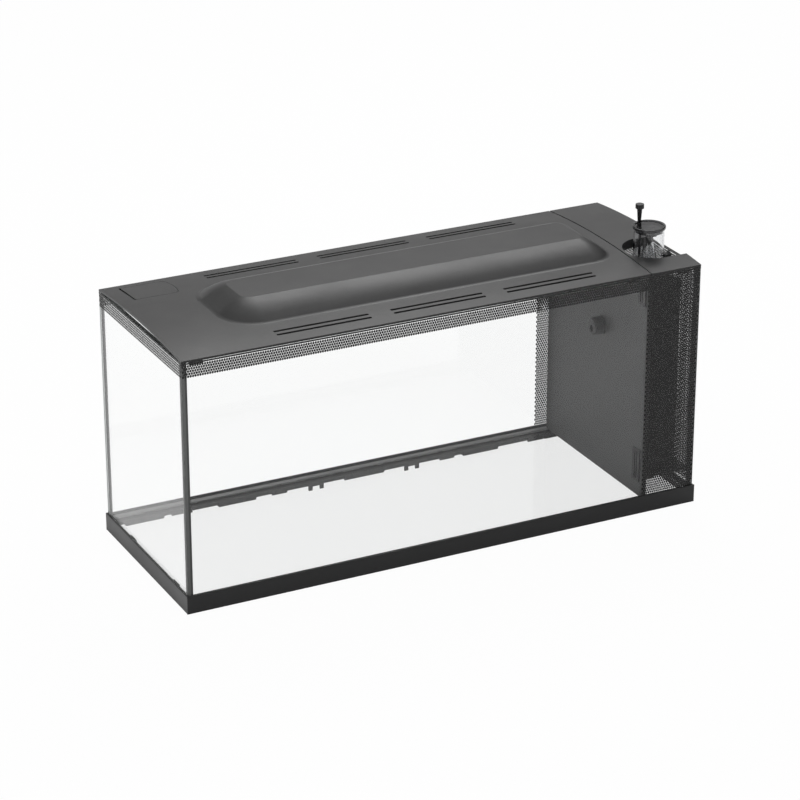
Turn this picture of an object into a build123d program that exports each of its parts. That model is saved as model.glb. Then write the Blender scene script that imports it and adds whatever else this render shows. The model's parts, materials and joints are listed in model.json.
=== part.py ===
from build123d import *
import os
from math import atan2, cos, radians, sin, tan

# Rectangular aquarium with a side filter compartment and an arched two-part cover.
# Millimetres. Origin at the bottom centre, +X to the filter end, +Y to the back, +Z up.

# Overall sizes
tank_length = 800.0
tank_depth = 297.0
base_height = 26.6
glass_top = 365.4
filter_length = 84.4

# Glass and silicone
glass = 6.0
glue = 0.8
seam_leg = 3.0
glass_chamfer = 0.5

# Base frame
rail_wall = 2.4
pane_gap = 0.3
ledge_top = 15.4
ledge_thick = 3.0
ledge_reach_long = 20.5
ledge_reach_short = 9.0
rail_round = 1.0
tooth_drop = 6.0
tooth_thick = 2.5
outer_tooth = 27.0
outer_tooth_setback = 111.0
inner_tooth = 24.0
inner_tooth_setback = 262.5
middle_tooth = 65.0
clip_offset = 78.5
clip_body = 5.0
clip_drop = 11.0
clip_width = 24.0
clip_prong = 6.0
side_tab_places = (-85.5, 70.0)
side_tab_width = 19.5
side_tab_reach = 15.6
pad_setbacks = (60.0, 200.0)
pad_length = 60.0
pad_width = 8.0
pad_gap = 0.3

# Printed film on the outside of the panes
print_thick = 0.2
print_band = 20.2
print_margin = 0.5
print_front_lap = 3.6
print_back_lap = 20.6

# Cover
cover_thick = 3.0
cover_rise = 7.35
cover_gap = 2.0
rest_rib = 5.0
rest_rib_height = 1.6
lug_length = 20.0
lug_thick = 2.0
lug_drop = 7.4
lug_room = 2.0
lug_end = 24.0

# Lamp dome on the main cover
dome_end_left = 98.3
dome_end_right = 17.6
dome_setback_front = 62.3
dome_setback_back = 70.8
dome_height = 25.6
dome_foot_sink = 0.35
dome_wall = 2.6
dome_corner_left = 52.0
dome_corner_right = 34.0
ridge_run_left = 40.0
ridge_run_right = 28.0
ridge_half = 35.5
ridge_corner_left = 16.0
ridge_corner_right = 10.0
ridge_round = 6.0
dome_foot_round = 10.0
bulge_share = 0.64

# Vent slots in the main cover
slot_width = 4.6
slot_gap = 32.5
slot_run_left = 49.25
slot_run_right = 57.25
slot_setbacks = (34.1, 23.7)
slot_groups = 3

# Feeding hatch
hatch_end = 23.6
hatch_width = 70.7
hatch_setback = 13.3
hatch_length = 59.0
hatch_bow = 4.0
hatch_gap = 0.6
hatch_hinge_gap = 2.7
hatch_corner_left = 3.0
hatch_opening_corner = 1.0
hatch_corner_right = 9.0
hinge_setback = 3.7
hinge_drop = 2.3
hinge_pin_radius = 1.25
hinge_lug_radius = 2.6
hinge_clearance = 0.05
hinge_lug_length = 3.5
knuckle_length = 12.0
knuckle_inset = 7.0
stop_width = 16.0
stop_reach = 6.0
stop_thick = 2.0
stop_clearance = 0.2

# Lamp under the dome
lamp_end_gap = 19.0
lamp_width = 50.0
lamp_height = 14.0
lamp_lift = 3.6
lamp_wall = 2.5
lamp_plate = 3.0
board_margin = 6.0
board_thick = 1.6
emitter = 5.0
emitter_height = 1.0
emitter_count = 16
emitter_row = 10.0
lens_thick = 2.5
lens_room = 0.3
ear_reach = 9.0
ear_length = 12.0
ear_setback = 45.0
boss_radius = 4.0
screw_radius = 1.5
screw_head_radius = 3.0
screw_head = 2.0
screw_slot = 0.8
screw_room = 0.05
screw_length = 5.0

# Filter cover cut-out
cut_strip = 3.4
cut_setback = 81.0
cut_radius = 38.5
cut_lip = 2.0
cut_lip_drop = 3.4
cut_lip_end = 7.8

# Partition and combs
partition_thick = 5.0
partition_drop = 4.4
joint_room = 0.3
comb_flange = 2.0
comb_room = 0.2
comb_gap = 3.0
comb_bar = 2.0
window_width = 15.0
overflow_setback = 5.8
overflow_drop = 21.4
overflow_height = 26.0
intake_setback = 7.3
intake_rise = 24.6
intake_height = 46.0

# Outlet
outlet_rise = 224.6
bush_radius = 10.0
bush_hole_room = 0.1
bush_flange_radius = 14.0
bush_flange = 4.0
bush_reach = 11.9
nut_flats = 28.0
nut_thick = 6.0
nozzle_neck_radius = 8.0
nozzle_room = 0.05
nozzle_neck = 7.0
nozzle_head_radius = 13.0
nozzle_head = 12.0
nozzle_round = 3.0
nozzle_bore = 5.0
nozzle_tilt = 30.0
barb_radius = 6.4
barb_bore = 5.0
barb_length = 10.0
pipe_inner = 6.5
pipe_outer = 8.5
pipe_bend = 16.0
pipe_end_gap = 0.3

# Return pump
pump_reach = 37.9
pump_setback = 1.5
motor_width = 44.0
motor_height = 46.0
motor_depth = 40.0
motor_rise = 9.6
motor_axis_drop = 1.0
motor_round = 5.0
volute_depth = 24.0
volute_radius = 19.0
volute_bore = 13.5
volute_bore_depth = 19.0
can_bore = 8.5
can_depth = 52.0
outlet_stub_place = 11.0
outlet_stub_radius = 8.0
outlet_stub_rise = 3.0
shaft_radius = 1.5
shaft_socket = 3.0
magnet_radius = 7.9
magnet_end_gap = 2.0
vane_disc_radius = 12.0
vane_disc = 2.0
vane_start = 6.0
vane_length = 10.0
vane_thick = 1.6
vane_count = 6
intake_cover = 4.0
intake_hub_radius = 4.0
intake_hub = 3.0
intake_slot = 3.0
intake_slot_margin = 1.0
intake_slot_count = 8
shaft_skin = 1.0
pump_foot_radius = 7.0
pump_foot_top = 3.0
pump_foot_inset = 7.0
dial_shift = (-11.0, 22.0)
dial_radius = 6.0
dial_height = 4.0
dial_pin_radius = 2.0
dial_pin = 4.0
pointer_width = 2.0
pointer_height = 1.0
turn_room = 0.05
lift_room = 0.3
gland_radius = 4.0
gland_length = 8.0

# Filter box and its media
box_gap_side = 4.9
box_gap_front = 6.3
box_width = 48.0
box_depth = 36.0
box_rise = 33.0
box_top_drop = 20.7
box_rim_height = 4.7
box_wall = 2.0
box_rim = 1.5
box_slot = 3.0
box_slot_count = 6
shelf_lap = 3.5
shelf_thick = 3.2
shelf_notch = 4.0
shelf_window = 7.0
media_room = 0.5
media_headroom = 15.0
ring_layers = 6
ring_height = 23.0
ring_radius = 7.0
ring_wall = 2.5
ring_pitch_x = 14.2
ring_pitch_y = 15.2
carbon_height = 62.0
handle_pivot_drop = 10.7
handle_height = 24.0
handle_bar = 3.0
handle_pin_radius = 1.5
handle_side_room = 0.3
handle_lean = 50.0

# Baffle between the skimmer chamber and the pump chamber
baffle_gap = 34.0
baffle_thick = 3.0
baffle_rise = 28.6
baffle_drop = 55.4

# Skimmer
skimmer_end = 43.0
skimmer_setback = 80.0
body_radius = 20.0
body_wall = 2.5
body_top_drop = 15.4
collar_radius = 22.0
collar_height = 10.0
strainer_radius = 21.0
strainer_height = 44.6
strainer_slot = 4.0
strainer_slot_height = 17.6
strainer_slot_count = 8
stone_radius = 8.0
stone_post = 12.6
stone_height = 26.0
stem_shift = (1.0, 29.0)
tube_radius = 3.0
tube_bore = 2.0
tube_bend = 7.5
tube_rise = 24.6
tube_reach = 2.0
stem_radius = 2.5
stem_top_radius = 3.85
stem_taper = 20.0
knob_radius = 6.2
knob_height = 6.5
knob_over_cup = 26.9
knob_flute = 0.8
knob_flute_count = 12
stem_block_half = 5.0
stem_block_wall = 1.3
stem_block_height = 22.0
stem_block_over = 2.0
stem_socket = 12.0
cup_radius = 22.0
cup_wall = 1.6
cup_height = 54.3
cup_floor = 2.5
spigot_drop = 7.0
spigot_room = 0.1
spigot_wall = 1.8
neck_foot_radius = 14.0
neck_top_radius = 6.0
neck_height = 31.2
neck_wall = 1.2
neck_cap_radius = 4.6
neck_cap_wall = 1.2
neck_cap_flange = 1.5
neck_cap_height = 8.0
lid_radius = 23.8
lid_thick = 4.4
lid_plug = 4.6
lid_plug_room = 0.2
lid_dish = 1.2
lid_dish_margin = 3.5
bracket_half = 5.0
bracket_arm = 8.0
bracket_plate = 2.3
bracket_height = 20.0
bracket_rise = 1.0
suction_length = 5.0
suction_radius = 8.0
suction_neck = 3.0
suction_rise = 17.0

# Heater
heater_gap_side = 5.3
heater_setback = 27.8
heater_radius = 10.0
heater_wall = 1.2
heater_rise = 23.6
heater_length = 170.0
heater_core_radius = 5.0
heater_cap_radius = 12.0
heater_cap_height = 35.0
heater_cap_round = 1.0
heater_spigot = 10.0
heater_gland_radius = 3.0
heater_dial_shift = -4.5
heater_gland_shift = 7.5
heater_dial_height = 7.0
clip_rises = (35.0, 135.0)
clip_height = 10.0
clip_wall = 2.0
clip_room = 0.3

# Places of the glass
half_length = tank_length / 2
half_depth = tank_depth / 2
pane_inset = rail_wall + pane_gap
glass_x = half_length - pane_inset
glass_y = half_depth - pane_inset
inner_x = glass_x - glass
inner_y = glass_y - glass
floor_top = ledge_top + glass
ledge_bottom = ledge_top - ledge_thick

# Places on the base frame
tooth_places = [(0.0, middle_tooth)]
for side in (-1, 1):
    tooth_places.append((side * (half_length - outer_tooth_setback), outer_tooth))
    tooth_places.append((side * (half_length - inner_tooth_setback), inner_tooth))
clip_places = (-clip_offset, clip_offset)

# Places on the covers
cover_edge = glass_top + cover_thick
cover_seam = half_length - filter_length
main_end = cover_seam - cover_gap / 2
filter_start = cover_seam + cover_gap / 2
main_lug_places = (-glass_x + lug_end, main_end - lug_end)
filter_lug_places = (filter_start + lug_length, glass_x - lug_end)
dome_left = -glass_x + dome_end_left
dome_right = main_end - dome_end_right
dome_front = -glass_y + dome_setback_front
dome_back = glass_y - dome_setback_back
dome_top = cover_edge + dome_height
dome_foot = cover_edge + cover_rise * (1 - (dome_front / glass_y) ** 2) - dome_foot_sink
ridge_left = dome_left + ridge_run_left
ridge_right = dome_right - ridge_run_right
slot_start = dome_left + slot_run_left
slot_length = (dome_right - slot_run_right - slot_start - (slot_groups - 1) * slot_gap) / slot_groups
hatch_left = -glass_x + hatch_end
hatch_right = hatch_left + hatch_width
hatch_back = glass_y - hatch_setback
hatch_front = hatch_back - hatch_length
cut_x = filter_start + cut_strip + cut_radius
cut_y = -half_depth + cut_setback
lamp_left = ridge_left + lamp_end_gap
lamp_right = ridge_right - lamp_end_gap
lamp_bottom = cover_edge + lamp_lift
lamp_top = lamp_bottom + lamp_height
lamp_ceiling = lamp_top - lamp_plate
ear_y = lamp_width / 2 + ear_reach / 2
ear_centres = [(x, y) for x in (lamp_left + ear_setback, lamp_right - ear_setback) for y in (-ear_y, ear_y)]

# Places in the filter compartment
partition_left = cover_seam - partition_thick / 2
partition_right = partition_left + partition_thick
partition_top = glass_top - partition_drop
overflow_y = -inner_y + overflow_setback
overflow_z = glass_top - overflow_drop
overflow_window = (overflow_y, overflow_y + window_width, overflow_z - overflow_height, overflow_z)
intake_y = -inner_y + intake_setback
intake_z = floor_top + intake_rise
intake_window = (intake_y, intake_y + window_width, intake_z, intake_z + intake_height)
skimmer_x = half_length - skimmer_end
skimmer_y = -half_depth + skimmer_setback
baffle_front = skimmer_y + baffle_gap
baffle_back = baffle_front + baffle_thick
baffle_bottom = floor_top + baffle_rise
baffle_top = glass_top - baffle_drop

# Places on the pump and the outlet
pump_x = partition_right + pump_reach
volute_front = baffle_back + pump_setback + intake_cover
motor_front = volute_front + volute_depth
motor_back = motor_front + motor_depth
motor_left = pump_x - motor_width / 2
motor_right = pump_x + motor_width / 2
motor_bottom = floor_top + motor_rise
motor_top = motor_bottom + motor_height
pump_axis_z = (motor_bottom + motor_top) / 2 - motor_axis_drop
volute_bore_end = volute_front + volute_bore_depth
can_end = volute_front + can_depth
magnet_end = can_end - magnet_end_gap
vane_front = volute_front + vane_start
vane_end = vane_front + vane_length
outlet_y = volute_front + outlet_stub_place
outlet_z = floor_top + outlet_rise
outlet_stub_top = motor_top + outlet_stub_rise
bush_end = partition_right + bush_reach
dial_place = (pump_x + dial_shift[0], motor_front + dial_shift[1])

# Places on the filter box
box_left = partition_right + box_gap_side
box_right = box_left + box_width
box_front = -inner_y + box_gap_front
box_back = box_front + box_depth
box_middle = (box_front + box_back) / 2
box_bottom = floor_top + box_rise
box_rim_top = glass_top - box_top_drop
box_rim_bottom = box_rim_top - box_rim_height
shelf_back = box_back + shelf_lap
shelf_top = box_bottom - lift_room
handle_pivot_z = box_rim_top - handle_pivot_drop
rings_bottom = box_bottom + box_wall + lift_room
rings_top = rings_bottom + ring_layers * ring_height
carbon_bottom = rings_top + lift_room
carbon_top = carbon_bottom + carbon_height
sponge_top = handle_pivot_z - media_headroom

# Places on the skimmer
body_bore = body_radius - body_wall
body_bottom = floor_top + strainer_height
collar_top = glass_top - body_top_drop
collar_bottom = collar_top - collar_height
stone_bottom = floor_top + stone_post
stone_top = stone_bottom + stone_height
stem_x = skimmer_x + stem_shift[0]
stem_y = skimmer_y + stem_shift[1]
tube_turn_z = floor_top + tube_rise
cup_bottom = collar_top + lift_room
cup_top = cup_bottom + cup_height
neck_bottom = cup_bottom + cup_floor
neck_top = neck_bottom + neck_height
knob_top = cup_top + knob_over_cup
stem_top = knob_top - knob_height
stem_block_top = collar_top + stem_block_over
stem_block_bottom = stem_block_top - stem_block_height
suction_z = collar_bottom + suction_rise

# Places on the heater
heater_x = inner_x - heater_gap_side - heater_radius
heater_y = inner_y - heater_setback
heater_bottom = floor_top + heater_rise
heater_tube_top = heater_bottom + heater_length
heater_cap_top = heater_tube_top + heater_cap_height


def block(x0, x1, y0, y1, z0, z1):
    """A box between six planes."""
    return Pos((x0 + x1) / 2, (y0 + y1) / 2, (z0 + z1) / 2) * Box(x1 - x0, y1 - y0, z1 - z0)


def rod_z(x, y, z0, z1, radius):
    """An upright cylinder."""
    return Pos(x, y, (z0 + z1) / 2) * Cylinder(radius, z1 - z0)


def rod_x(x0, x1, y, z, radius):
    """A cylinder along X."""
    return Pos((x0 + x1) / 2, y, z) * Rot(0, 90, 0) * Cylinder(radius, x1 - x0)


def rod_y(y0, y1, x, z, radius):
    """A cylinder along Y."""
    return Pos(x, (y0 + y1) / 2, z) * Rot(90, 0, 0) * Cylinder(radius, y1 - y0)


def group(solids):
    """Separate solids that share one node."""
    return Compound(children=list(solids))


def underside(y):
    """Height of the cover's underside at a distance y from the middle."""
    return glass_top + cover_rise * (1 - (y / glass_y) ** 2)


def arch_slab(x0, x1, drop_top, drop_bottom):
    """A slab that follows the cover's arch, between two depths below its top face."""
    high = cover_edge - drop_top
    low = cover_edge - drop_bottom
    top = ThreePointArc((-glass_y, high), (0, high + cover_rise), (glass_y, high))
    right = Line((glass_y, high), (glass_y, low))
    bottom = ThreePointArc((glass_y, low), (0, low + cover_rise), (-glass_y, low))
    left = Line((-glass_y, low), (-glass_y, high))
    section = Plane.YZ * make_face([top, right, bottom, left])
    return Pos(x0, 0, 0) * extrude(section, x1 - x0)


# Base frame

def base_rail_long(side):
    """Front (side -1) or back (side 1) rail: outer wall, ledge, teeth and clips."""
    outer = side * half_depth
    wall_in = side * (half_depth - rail_wall)
    ledge_in = side * (half_depth - ledge_reach_long)
    wall = block(-half_length, half_length, min(outer, wall_in), max(outer, wall_in), 0, base_height)
    face = wall.faces().sort_by(Axis.Y)[0 if side < 0 else -1]
    wall = fillet(face.edges(), rail_round)
    reach = half_length - rail_wall
    y0, y1 = min(wall_in, ledge_in), max(wall_in, ledge_in)
    rail = wall + block(-reach, reach, y0, y1, ledge_bottom, ledge_top)
    tooth_out = ledge_in + side * tooth_thick
    y0, y1 = min(ledge_in, tooth_out), max(ledge_in, tooth_out)
    for centre, width in tooth_places:
        rail += block(centre - width / 2, centre + width / 2, y0, y1, ledge_bottom - tooth_drop, ledge_bottom)
    for centre in clip_places:
        low = centre - clip_width / 2
        high = centre + clip_width / 2
        rail += block(low, high, y0, y1, ledge_bottom - clip_body, ledge_bottom)
        for start in (low, high - clip_prong):
            rail += block(start, start + clip_prong, y0, y1, ledge_bottom - clip_drop, ledge_bottom)
    return rail


def base_rail_short(side):
    """Left (side -1) or right (side 1) rail, between the long ones."""
    outer = side * half_length
    wall_in = side * (half_length - rail_wall)
    ledge_in = side * (half_length - ledge_reach_short)
    tab_in = side * (half_length - side_tab_reach)
    reach = half_depth - rail_wall
    wall = block(min(outer, wall_in), max(outer, wall_in), -reach, reach, 0, base_height)
    face = wall.faces().sort_by(Axis.X)[0 if side < 0 else -1]
    wall = fillet(face.edges().filter_by(Axis.Y), rail_round)
    span = half_depth - ledge_reach_long
    rail = wall + block(min(wall_in, ledge_in), max(wall_in, ledge_in), -span, span, ledge_bottom, ledge_top)
    for centre in side_tab_places:
        low = centre - side_tab_width / 2
        high = centre + side_tab_width / 2
        rail += block(min(ledge_in, tab_in), max(ledge_in, tab_in), low, high, ledge_bottom, ledge_top)
    return rail


def support_pads():
    """Foam pads in the channels, from the table up to the ledges."""
    pads = []
    inner = half_depth - rail_wall - pad_width - pad_gap
    for setback in pad_setbacks:
        for end in (-1, 1):
            for side in (-1, 1):
                x0 = end * (half_length - setback) - pad_length / 2
                y0 = min(side * inner, side * (inner + pad_width))
                pads.append(block(x0, x0 + pad_length, y0, y0 + pad_width, 0, ledge_bottom))
    return group(pads)


# Glass and silicone

def pane(x0, x1, y0, y1, z0, z1):
    """A pane with ground edges."""
    sheet = block(x0, x1, y0, y1, z0, z1)
    return chamfer(sheet.edges(), glass_chamfer)


def corner_seam(sx, sy):
    """Glue line and inside fillet where an end pane meets a long pane."""
    top = glass_top - glass_chamfer
    strip = block(min(sx * glass_x, sx * inner_x), max(sx * glass_x, sx * inner_x),
                  min(sy * inner_y, sy * (inner_y - glue)), max(sy * inner_y, sy * (inner_y - glue)),
                  ledge_top, top)
    points = ((sx * inner_x, sy * inner_y), (sx * (inner_x - seam_leg), sy * inner_y),
              (sx * inner_x, sy * (inner_y - seam_leg)))
    bead = Pos(0, 0, floor_top + seam_leg) * extrude(make_face(Polyline(*points, close=True)),
                                                    top - floor_top - seam_leg)
    return strip + bead


def floor_seam():
    """Glue line round the floor pane, and the bead that stands on it."""
    strip = block(-inner_x, inner_x, -inner_y, inner_y, ledge_top, floor_top)
    strip -= block(-inner_x + glue, inner_x - glue, -inner_y + glue, inner_y - glue, ledge_top, floor_top)
    foot = Pos(0, 0, floor_top) * Rectangle(2 * (inner_x - seam_leg), 2 * (inner_y - seam_leg))
    mouth = Pos(0, 0, floor_top + seam_leg) * Rectangle(2 * inner_x, 2 * inner_y)
    bead = block(-inner_x, inner_x, -inner_y, inner_y, floor_top, floor_top + seam_leg)
    bead -= loft([foot, mouth])
    slot = block(partition_left, partition_right, -inner_y, inner_y, floor_top, floor_top + seam_leg)
    return strip + (bead - slot)


def partition_seam(side):
    """Silicone between the partition's edge and a long pane, with a bead on the filter side."""
    edge = side * inner_y
    strip = block(partition_left, partition_right, min(edge, edge - side * joint_room),
                  max(edge, edge - side * joint_room), floor_top, partition_top)
    points = ((partition_right, edge), (partition_right + seam_leg, edge),
              (partition_right, edge - side * seam_leg))
    bead = Pos(0, 0, floor_top + seam_leg) * extrude(make_face(Polyline(*points, close=True)),
                                                    partition_top - floor_top - seam_leg)
    return strip + bead


def silicone_seams():
    """All the silicone: corners, floor and partition."""
    corners = [corner_seam(sx, sy) for sx in (-1, 1) for sy in (-1, 1)]
    return group(corners + [floor_seam(), partition_seam(-1), partition_seam(1)])


def print_long(side, panel_left):
    """Film on the front or back pane: a band along the top and a panel over the filter end."""
    inside = side * glass_y
    outside = side * (glass_y + print_thick)
    y0, y1 = min(inside, outside), max(inside, outside)
    top = glass_top - print_margin
    reach = glass_x - print_margin
    band = block(-reach, reach, y0, y1, top - print_band, top)
    return band + block(panel_left, reach, y0, y1, base_height + print_margin, top)


def print_short(side, bottom):
    """Film on an end pane, from a height up to its top edge."""
    inside = side * glass_x
    outside = side * (glass_x + print_thick)
    reach = glass_y - print_margin
    return block(min(inside, outside), max(inside, outside), -reach, reach, bottom, glass_top - print_margin)


# Partition, combs, baffle and shelf

def partition():
    """Panel between the display and the filter compartment."""
    reach = inner_y - joint_room
    panel = block(partition_left, partition_right, -reach, reach, floor_top, partition_top)
    for y0, y1, z0, z1 in (overflow_window, intake_window):
        panel -= block(partition_left, partition_right, y0, y1, z0, z1)
    return panel - rod_x(partition_left, partition_right, outlet_y, outlet_z, bush_radius + bush_hole_room)


def comb(window):
    """Slotted plug pressed into a window of the partition, with a flange on the display side."""
    y0, y1, z0, z1 = window
    plug = block(partition_left, partition_right, y0 + comb_room, y1 - comb_room,
                 z0 + comb_room, z1 - comb_room)
    flange = block(partition_left - comb_flange, partition_left, y0 - comb_flange, y1 + comb_flange,
                   z0 - comb_flange, z1 + comb_flange)
    piece = plug + flange
    pitch = comb_gap + comb_bar
    count = int((y1 - y0 - comb_bar) // pitch)
    start = (y0 + y1) / 2 - (count - 1) * pitch / 2
    for i in range(count):
        centre = start + i * pitch
        piece -= block(partition_left - comb_flange, partition_right, centre - comb_gap / 2,
                       centre + comb_gap / 2, z0 + comb_bar, z1 - comb_bar)
    return piece


def baffle():
    """Plate between the skimmer chamber and the pump chamber, open below for the flow."""
    return block(partition_right + joint_room, inner_x - joint_room, baffle_front, baffle_back,
                 baffle_bottom, baffle_top)


def box_shelf():
    """Shelf under the filter box, notched round the silicone."""
    left = partition_right + joint_room
    right = inner_x - joint_room
    front = -inner_y + joint_room
    bottom = shelf_top - shelf_thick
    plate = block(left, right, front, shelf_back, bottom, shelf_top)
    for x0, x1 in ((left, left + shelf_notch), (right - shelf_notch, right)):
        plate -= block(x0, x1, front, front + shelf_notch, bottom, shelf_top)
    window = block(box_left + shelf_window, box_right - shelf_window, box_front + shelf_window,
                   box_back - shelf_window, bottom, shelf_top)
    return plate - window


# Outlet

def outlet_bulkhead():
    """Flanged bush through the partition, with a barb for the riser pipe."""
    flange = rod_x(partition_left - bush_flange, partition_left, outlet_y, outlet_z, bush_flange_radius)
    bush = rod_x(partition_left, bush_end, outlet_y, outlet_z, bush_radius)
    barb = rod_x(bush_end, bush_end + barb_length, outlet_y, outlet_z, barb_radius)
    piece = flange + bush + barb
    piece -= rod_x(partition_left - bush_flange, bush_end + barb_length, outlet_y, outlet_z, barb_bore)
    mouth = partition_left - bush_flange
    return piece - rod_x(mouth, mouth + nozzle_neck + lift_room, outlet_y, outlet_z,
                         nozzle_neck_radius + nozzle_room)


def outlet_nut():
    """Six-sided nut behind the partition."""
    hexagon = RegularPolygon(nut_flats / 2, 6, major_radius=False)
    body = extrude(Plane.YZ * hexagon, nut_thick)
    body = Pos(partition_right, outlet_y, outlet_z) * body
    return body - rod_x(partition_right, partition_right + nut_thick, outlet_y, outlet_z,
                        bush_radius + turn_room)


def outlet_nozzle():
    """Round nozzle with a slanted mouth that turns in the bush."""
    back = partition_left - bush_flange - lift_room
    front = back - nozzle_head
    head = rod_x(front, back, outlet_y, outlet_z, nozzle_head_radius)
    head = fillet(head.faces().sort_by(Axis.X)[0].edges(), nozzle_round)
    neck = rod_x(back, back + nozzle_neck, outlet_y, outlet_z, nozzle_neck_radius)
    bore = rod_x(back - nozzle_head / 2, back + nozzle_neck, outlet_y, outlet_z, nozzle_bore)
    mouth = Pos(back - nozzle_head / 2, outlet_y, outlet_z) * Rot(0, -90 - nozzle_tilt, 0)
    mouth = mouth * Cylinder(nozzle_bore, 2 * nozzle_head, align=(Align.CENTER, Align.CENTER, Align.MIN))
    return head + neck - bore - mouth


def bent_pipe(start, corner, end, bend, outer, inner):
    """Pipe along two straight runs joined by an arc."""
    route = FilletPolyline(start, corner, end, radius=bend)
    first = Vector(*corner) - Vector(*start)
    plane = Plane(origin=start, z_dir=first)
    return sweep(plane * Circle(outer), path=route) - sweep(plane * Circle(inner), path=route)


def riser_pipe():
    """Pipe from the bulkhead's barb down to the pump's barb."""
    start = (bush_end + pipe_end_gap, outlet_y, outlet_z)
    corner = (pump_x, outlet_y, outlet_z)
    end = (pump_x, outlet_y, outlet_stub_top + pipe_end_gap)
    return bent_pipe(start, corner, end, pipe_bend, pipe_outer, pipe_inner)


# Return pump

def pump_housing():
    """Motor block, volute, upward outlet with barb and the lead's gland."""
    motor = block(motor_left, motor_right, motor_front, motor_back, motor_bottom, motor_top)
    motor = fillet(motor.edges().filter_by(Axis.Y), motor_round)
    volute = rod_y(volute_front, motor_front, pump_x, pump_axis_z, volute_radius)
    stub = rod_z(pump_x, outlet_y, pump_axis_z, outlet_stub_top, outlet_stub_radius)
    barb = rod_z(pump_x, outlet_y, outlet_stub_top, outlet_stub_top + barb_length, barb_radius)
    gland = rod_y(motor_back, motor_back + gland_length, pump_x, pump_axis_z, gland_radius)
    body = motor + volute + stub + barb + gland
    body -= rod_y(volute_front, volute_bore_end, pump_x, pump_axis_z, volute_bore)
    body -= rod_y(volute_bore_end, can_end, pump_x, pump_axis_z, can_bore)
    body -= rod_y(can_end, can_end + shaft_socket, pump_x, pump_axis_z, shaft_radius)
    body -= rod_z(pump_x, outlet_y, pump_axis_z, outlet_stub_top + barb_length, barb_bore)
    dial_x, dial_y = dial_place
    return body - rod_z(dial_x, dial_y, motor_top - dial_pin - turn_room, motor_top,
                        dial_pin_radius + turn_room)


def pump_intake_cover():
    """Slotted cover on the volute, with the hub that holds the shaft's front end."""
    front = volute_front - intake_cover
    disc = rod_y(front, volute_front, pump_x, pump_axis_z, volute_radius)
    reach = (volute_bore + intake_hub_radius) / 2
    length = volute_bore - intake_hub_radius - 2 * intake_slot_margin
    for i in range(intake_slot_count):
        turn = Pos(pump_x, 0, pump_axis_z) * Rot(0, 360 / intake_slot_count * i, 0)
        disc -= turn * block(reach - length / 2, reach + length / 2, front, volute_front,
                             -intake_slot / 2, intake_slot / 2)
    hub = rod_y(volute_front, volute_front + intake_hub, pump_x, pump_axis_z, intake_hub_radius)
    return disc + hub - rod_y(front + shaft_skin, volute_front + intake_hub, pump_x, pump_axis_z,
                              shaft_radius)


def impeller_shaft():
    """Fixed ceramic shaft through the impeller."""
    front = volute_front - intake_cover + shaft_skin
    return rod_y(front, can_end + shaft_socket, pump_x, pump_axis_z, shaft_radius)


def impeller():
    """Magnet rotor with a vaned disc, running on the shaft."""
    rotor = rod_y(vane_end + vane_disc, magnet_end, pump_x, pump_axis_z, magnet_radius)
    rotor += rod_y(vane_end, vane_end + vane_disc, pump_x, pump_axis_z, vane_disc_radius)
    rotor += rod_y(vane_front, vane_end, pump_x, pump_axis_z, intake_hub_radius)
    for i in range(vane_count):
        turn = Pos(pump_x, 0, pump_axis_z) * Rot(0, 360 / vane_count * i, 0)
        rotor += turn * block(intake_hub_radius - vane_thick, vane_disc_radius, vane_front, vane_end,
                              -vane_thick / 2, vane_thick / 2)
    return rotor - rod_y(vane_front, magnet_end, pump_x, pump_axis_z, shaft_radius + turn_room)


def dial(x, y, seat, height):
    """Disc on a short pin, with a raised pointer towards the left."""
    bottom = seat + lift_room
    top = bottom + height
    half = pointer_width / 2
    piece = rod_z(x, y, bottom, top, dial_radius) + rod_z(x, y, seat - dial_pin, bottom, dial_pin_radius)
    return piece + block(x - dial_radius + half, x, y - half, y + half, top, top + pointer_height)


def suction_cone(base, tip, direction, length):
    """Rubber cup: wide at its base, narrow at the tip."""
    return Plane(origin=base, z_dir=direction) * Cone(tip[0], tip[1], length,
                                                      align=(Align.CENTER, Align.CENTER, Align.MIN))


def suction_cups():
    """The pump's feet, and the cups that hold the skimmer and the heater."""
    cups = []
    for x in (motor_left + pump_foot_inset, motor_right - pump_foot_inset):
        for y in (motor_front + pump_foot_inset, motor_back - pump_foot_inset):
            cups.append(suction_cone((x, y, floor_top), (pump_foot_radius, pump_foot_top), (0, 0, 1),
                                     motor_rise))
    cups.append(suction_cone((inner_x, skimmer_y, suction_z), (suction_radius, suction_neck), (-1, 0, 0),
                             suction_length))
    clip_reach = inner_x - heater_x - heater_radius - clip_room - clip_wall
    for rise in clip_rises:
        middle = heater_bottom + rise + clip_height / 2
        cups.append(suction_cone((inner_x, heater_y, middle), (suction_radius, suction_neck), (-1, 0, 0),
                                 clip_reach))
    return group(cups)


# Filter box and media

def filter_box():
    """Tall open box with a slotted floor and a rim."""
    shell = block(box_left, box_right, box_front, box_back, box_bottom, box_rim_top)
    shell += block(box_left - box_rim, box_right + box_rim, box_front - box_rim, box_back + box_rim,
                   box_rim_bottom, box_rim_top)
    shell -= block(box_left + box_wall, box_right - box_wall, box_front + box_wall, box_back - box_wall,
                   box_bottom + box_wall, box_rim_top)
    pitch = (box_right - box_left - 2 * box_wall) / box_slot_count
    for i in range(box_slot_count):
        centre = box_left + box_wall + pitch * (i + 0.5)
        shell -= block(centre - box_slot / 2, centre + box_slot / 2, box_front + 2 * box_wall,
                       box_back - 2 * box_wall, box_bottom, box_bottom + box_wall)
    return shell - rod_x(box_left, box_right, box_middle, handle_pivot_z, handle_pin_radius + turn_room)


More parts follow.
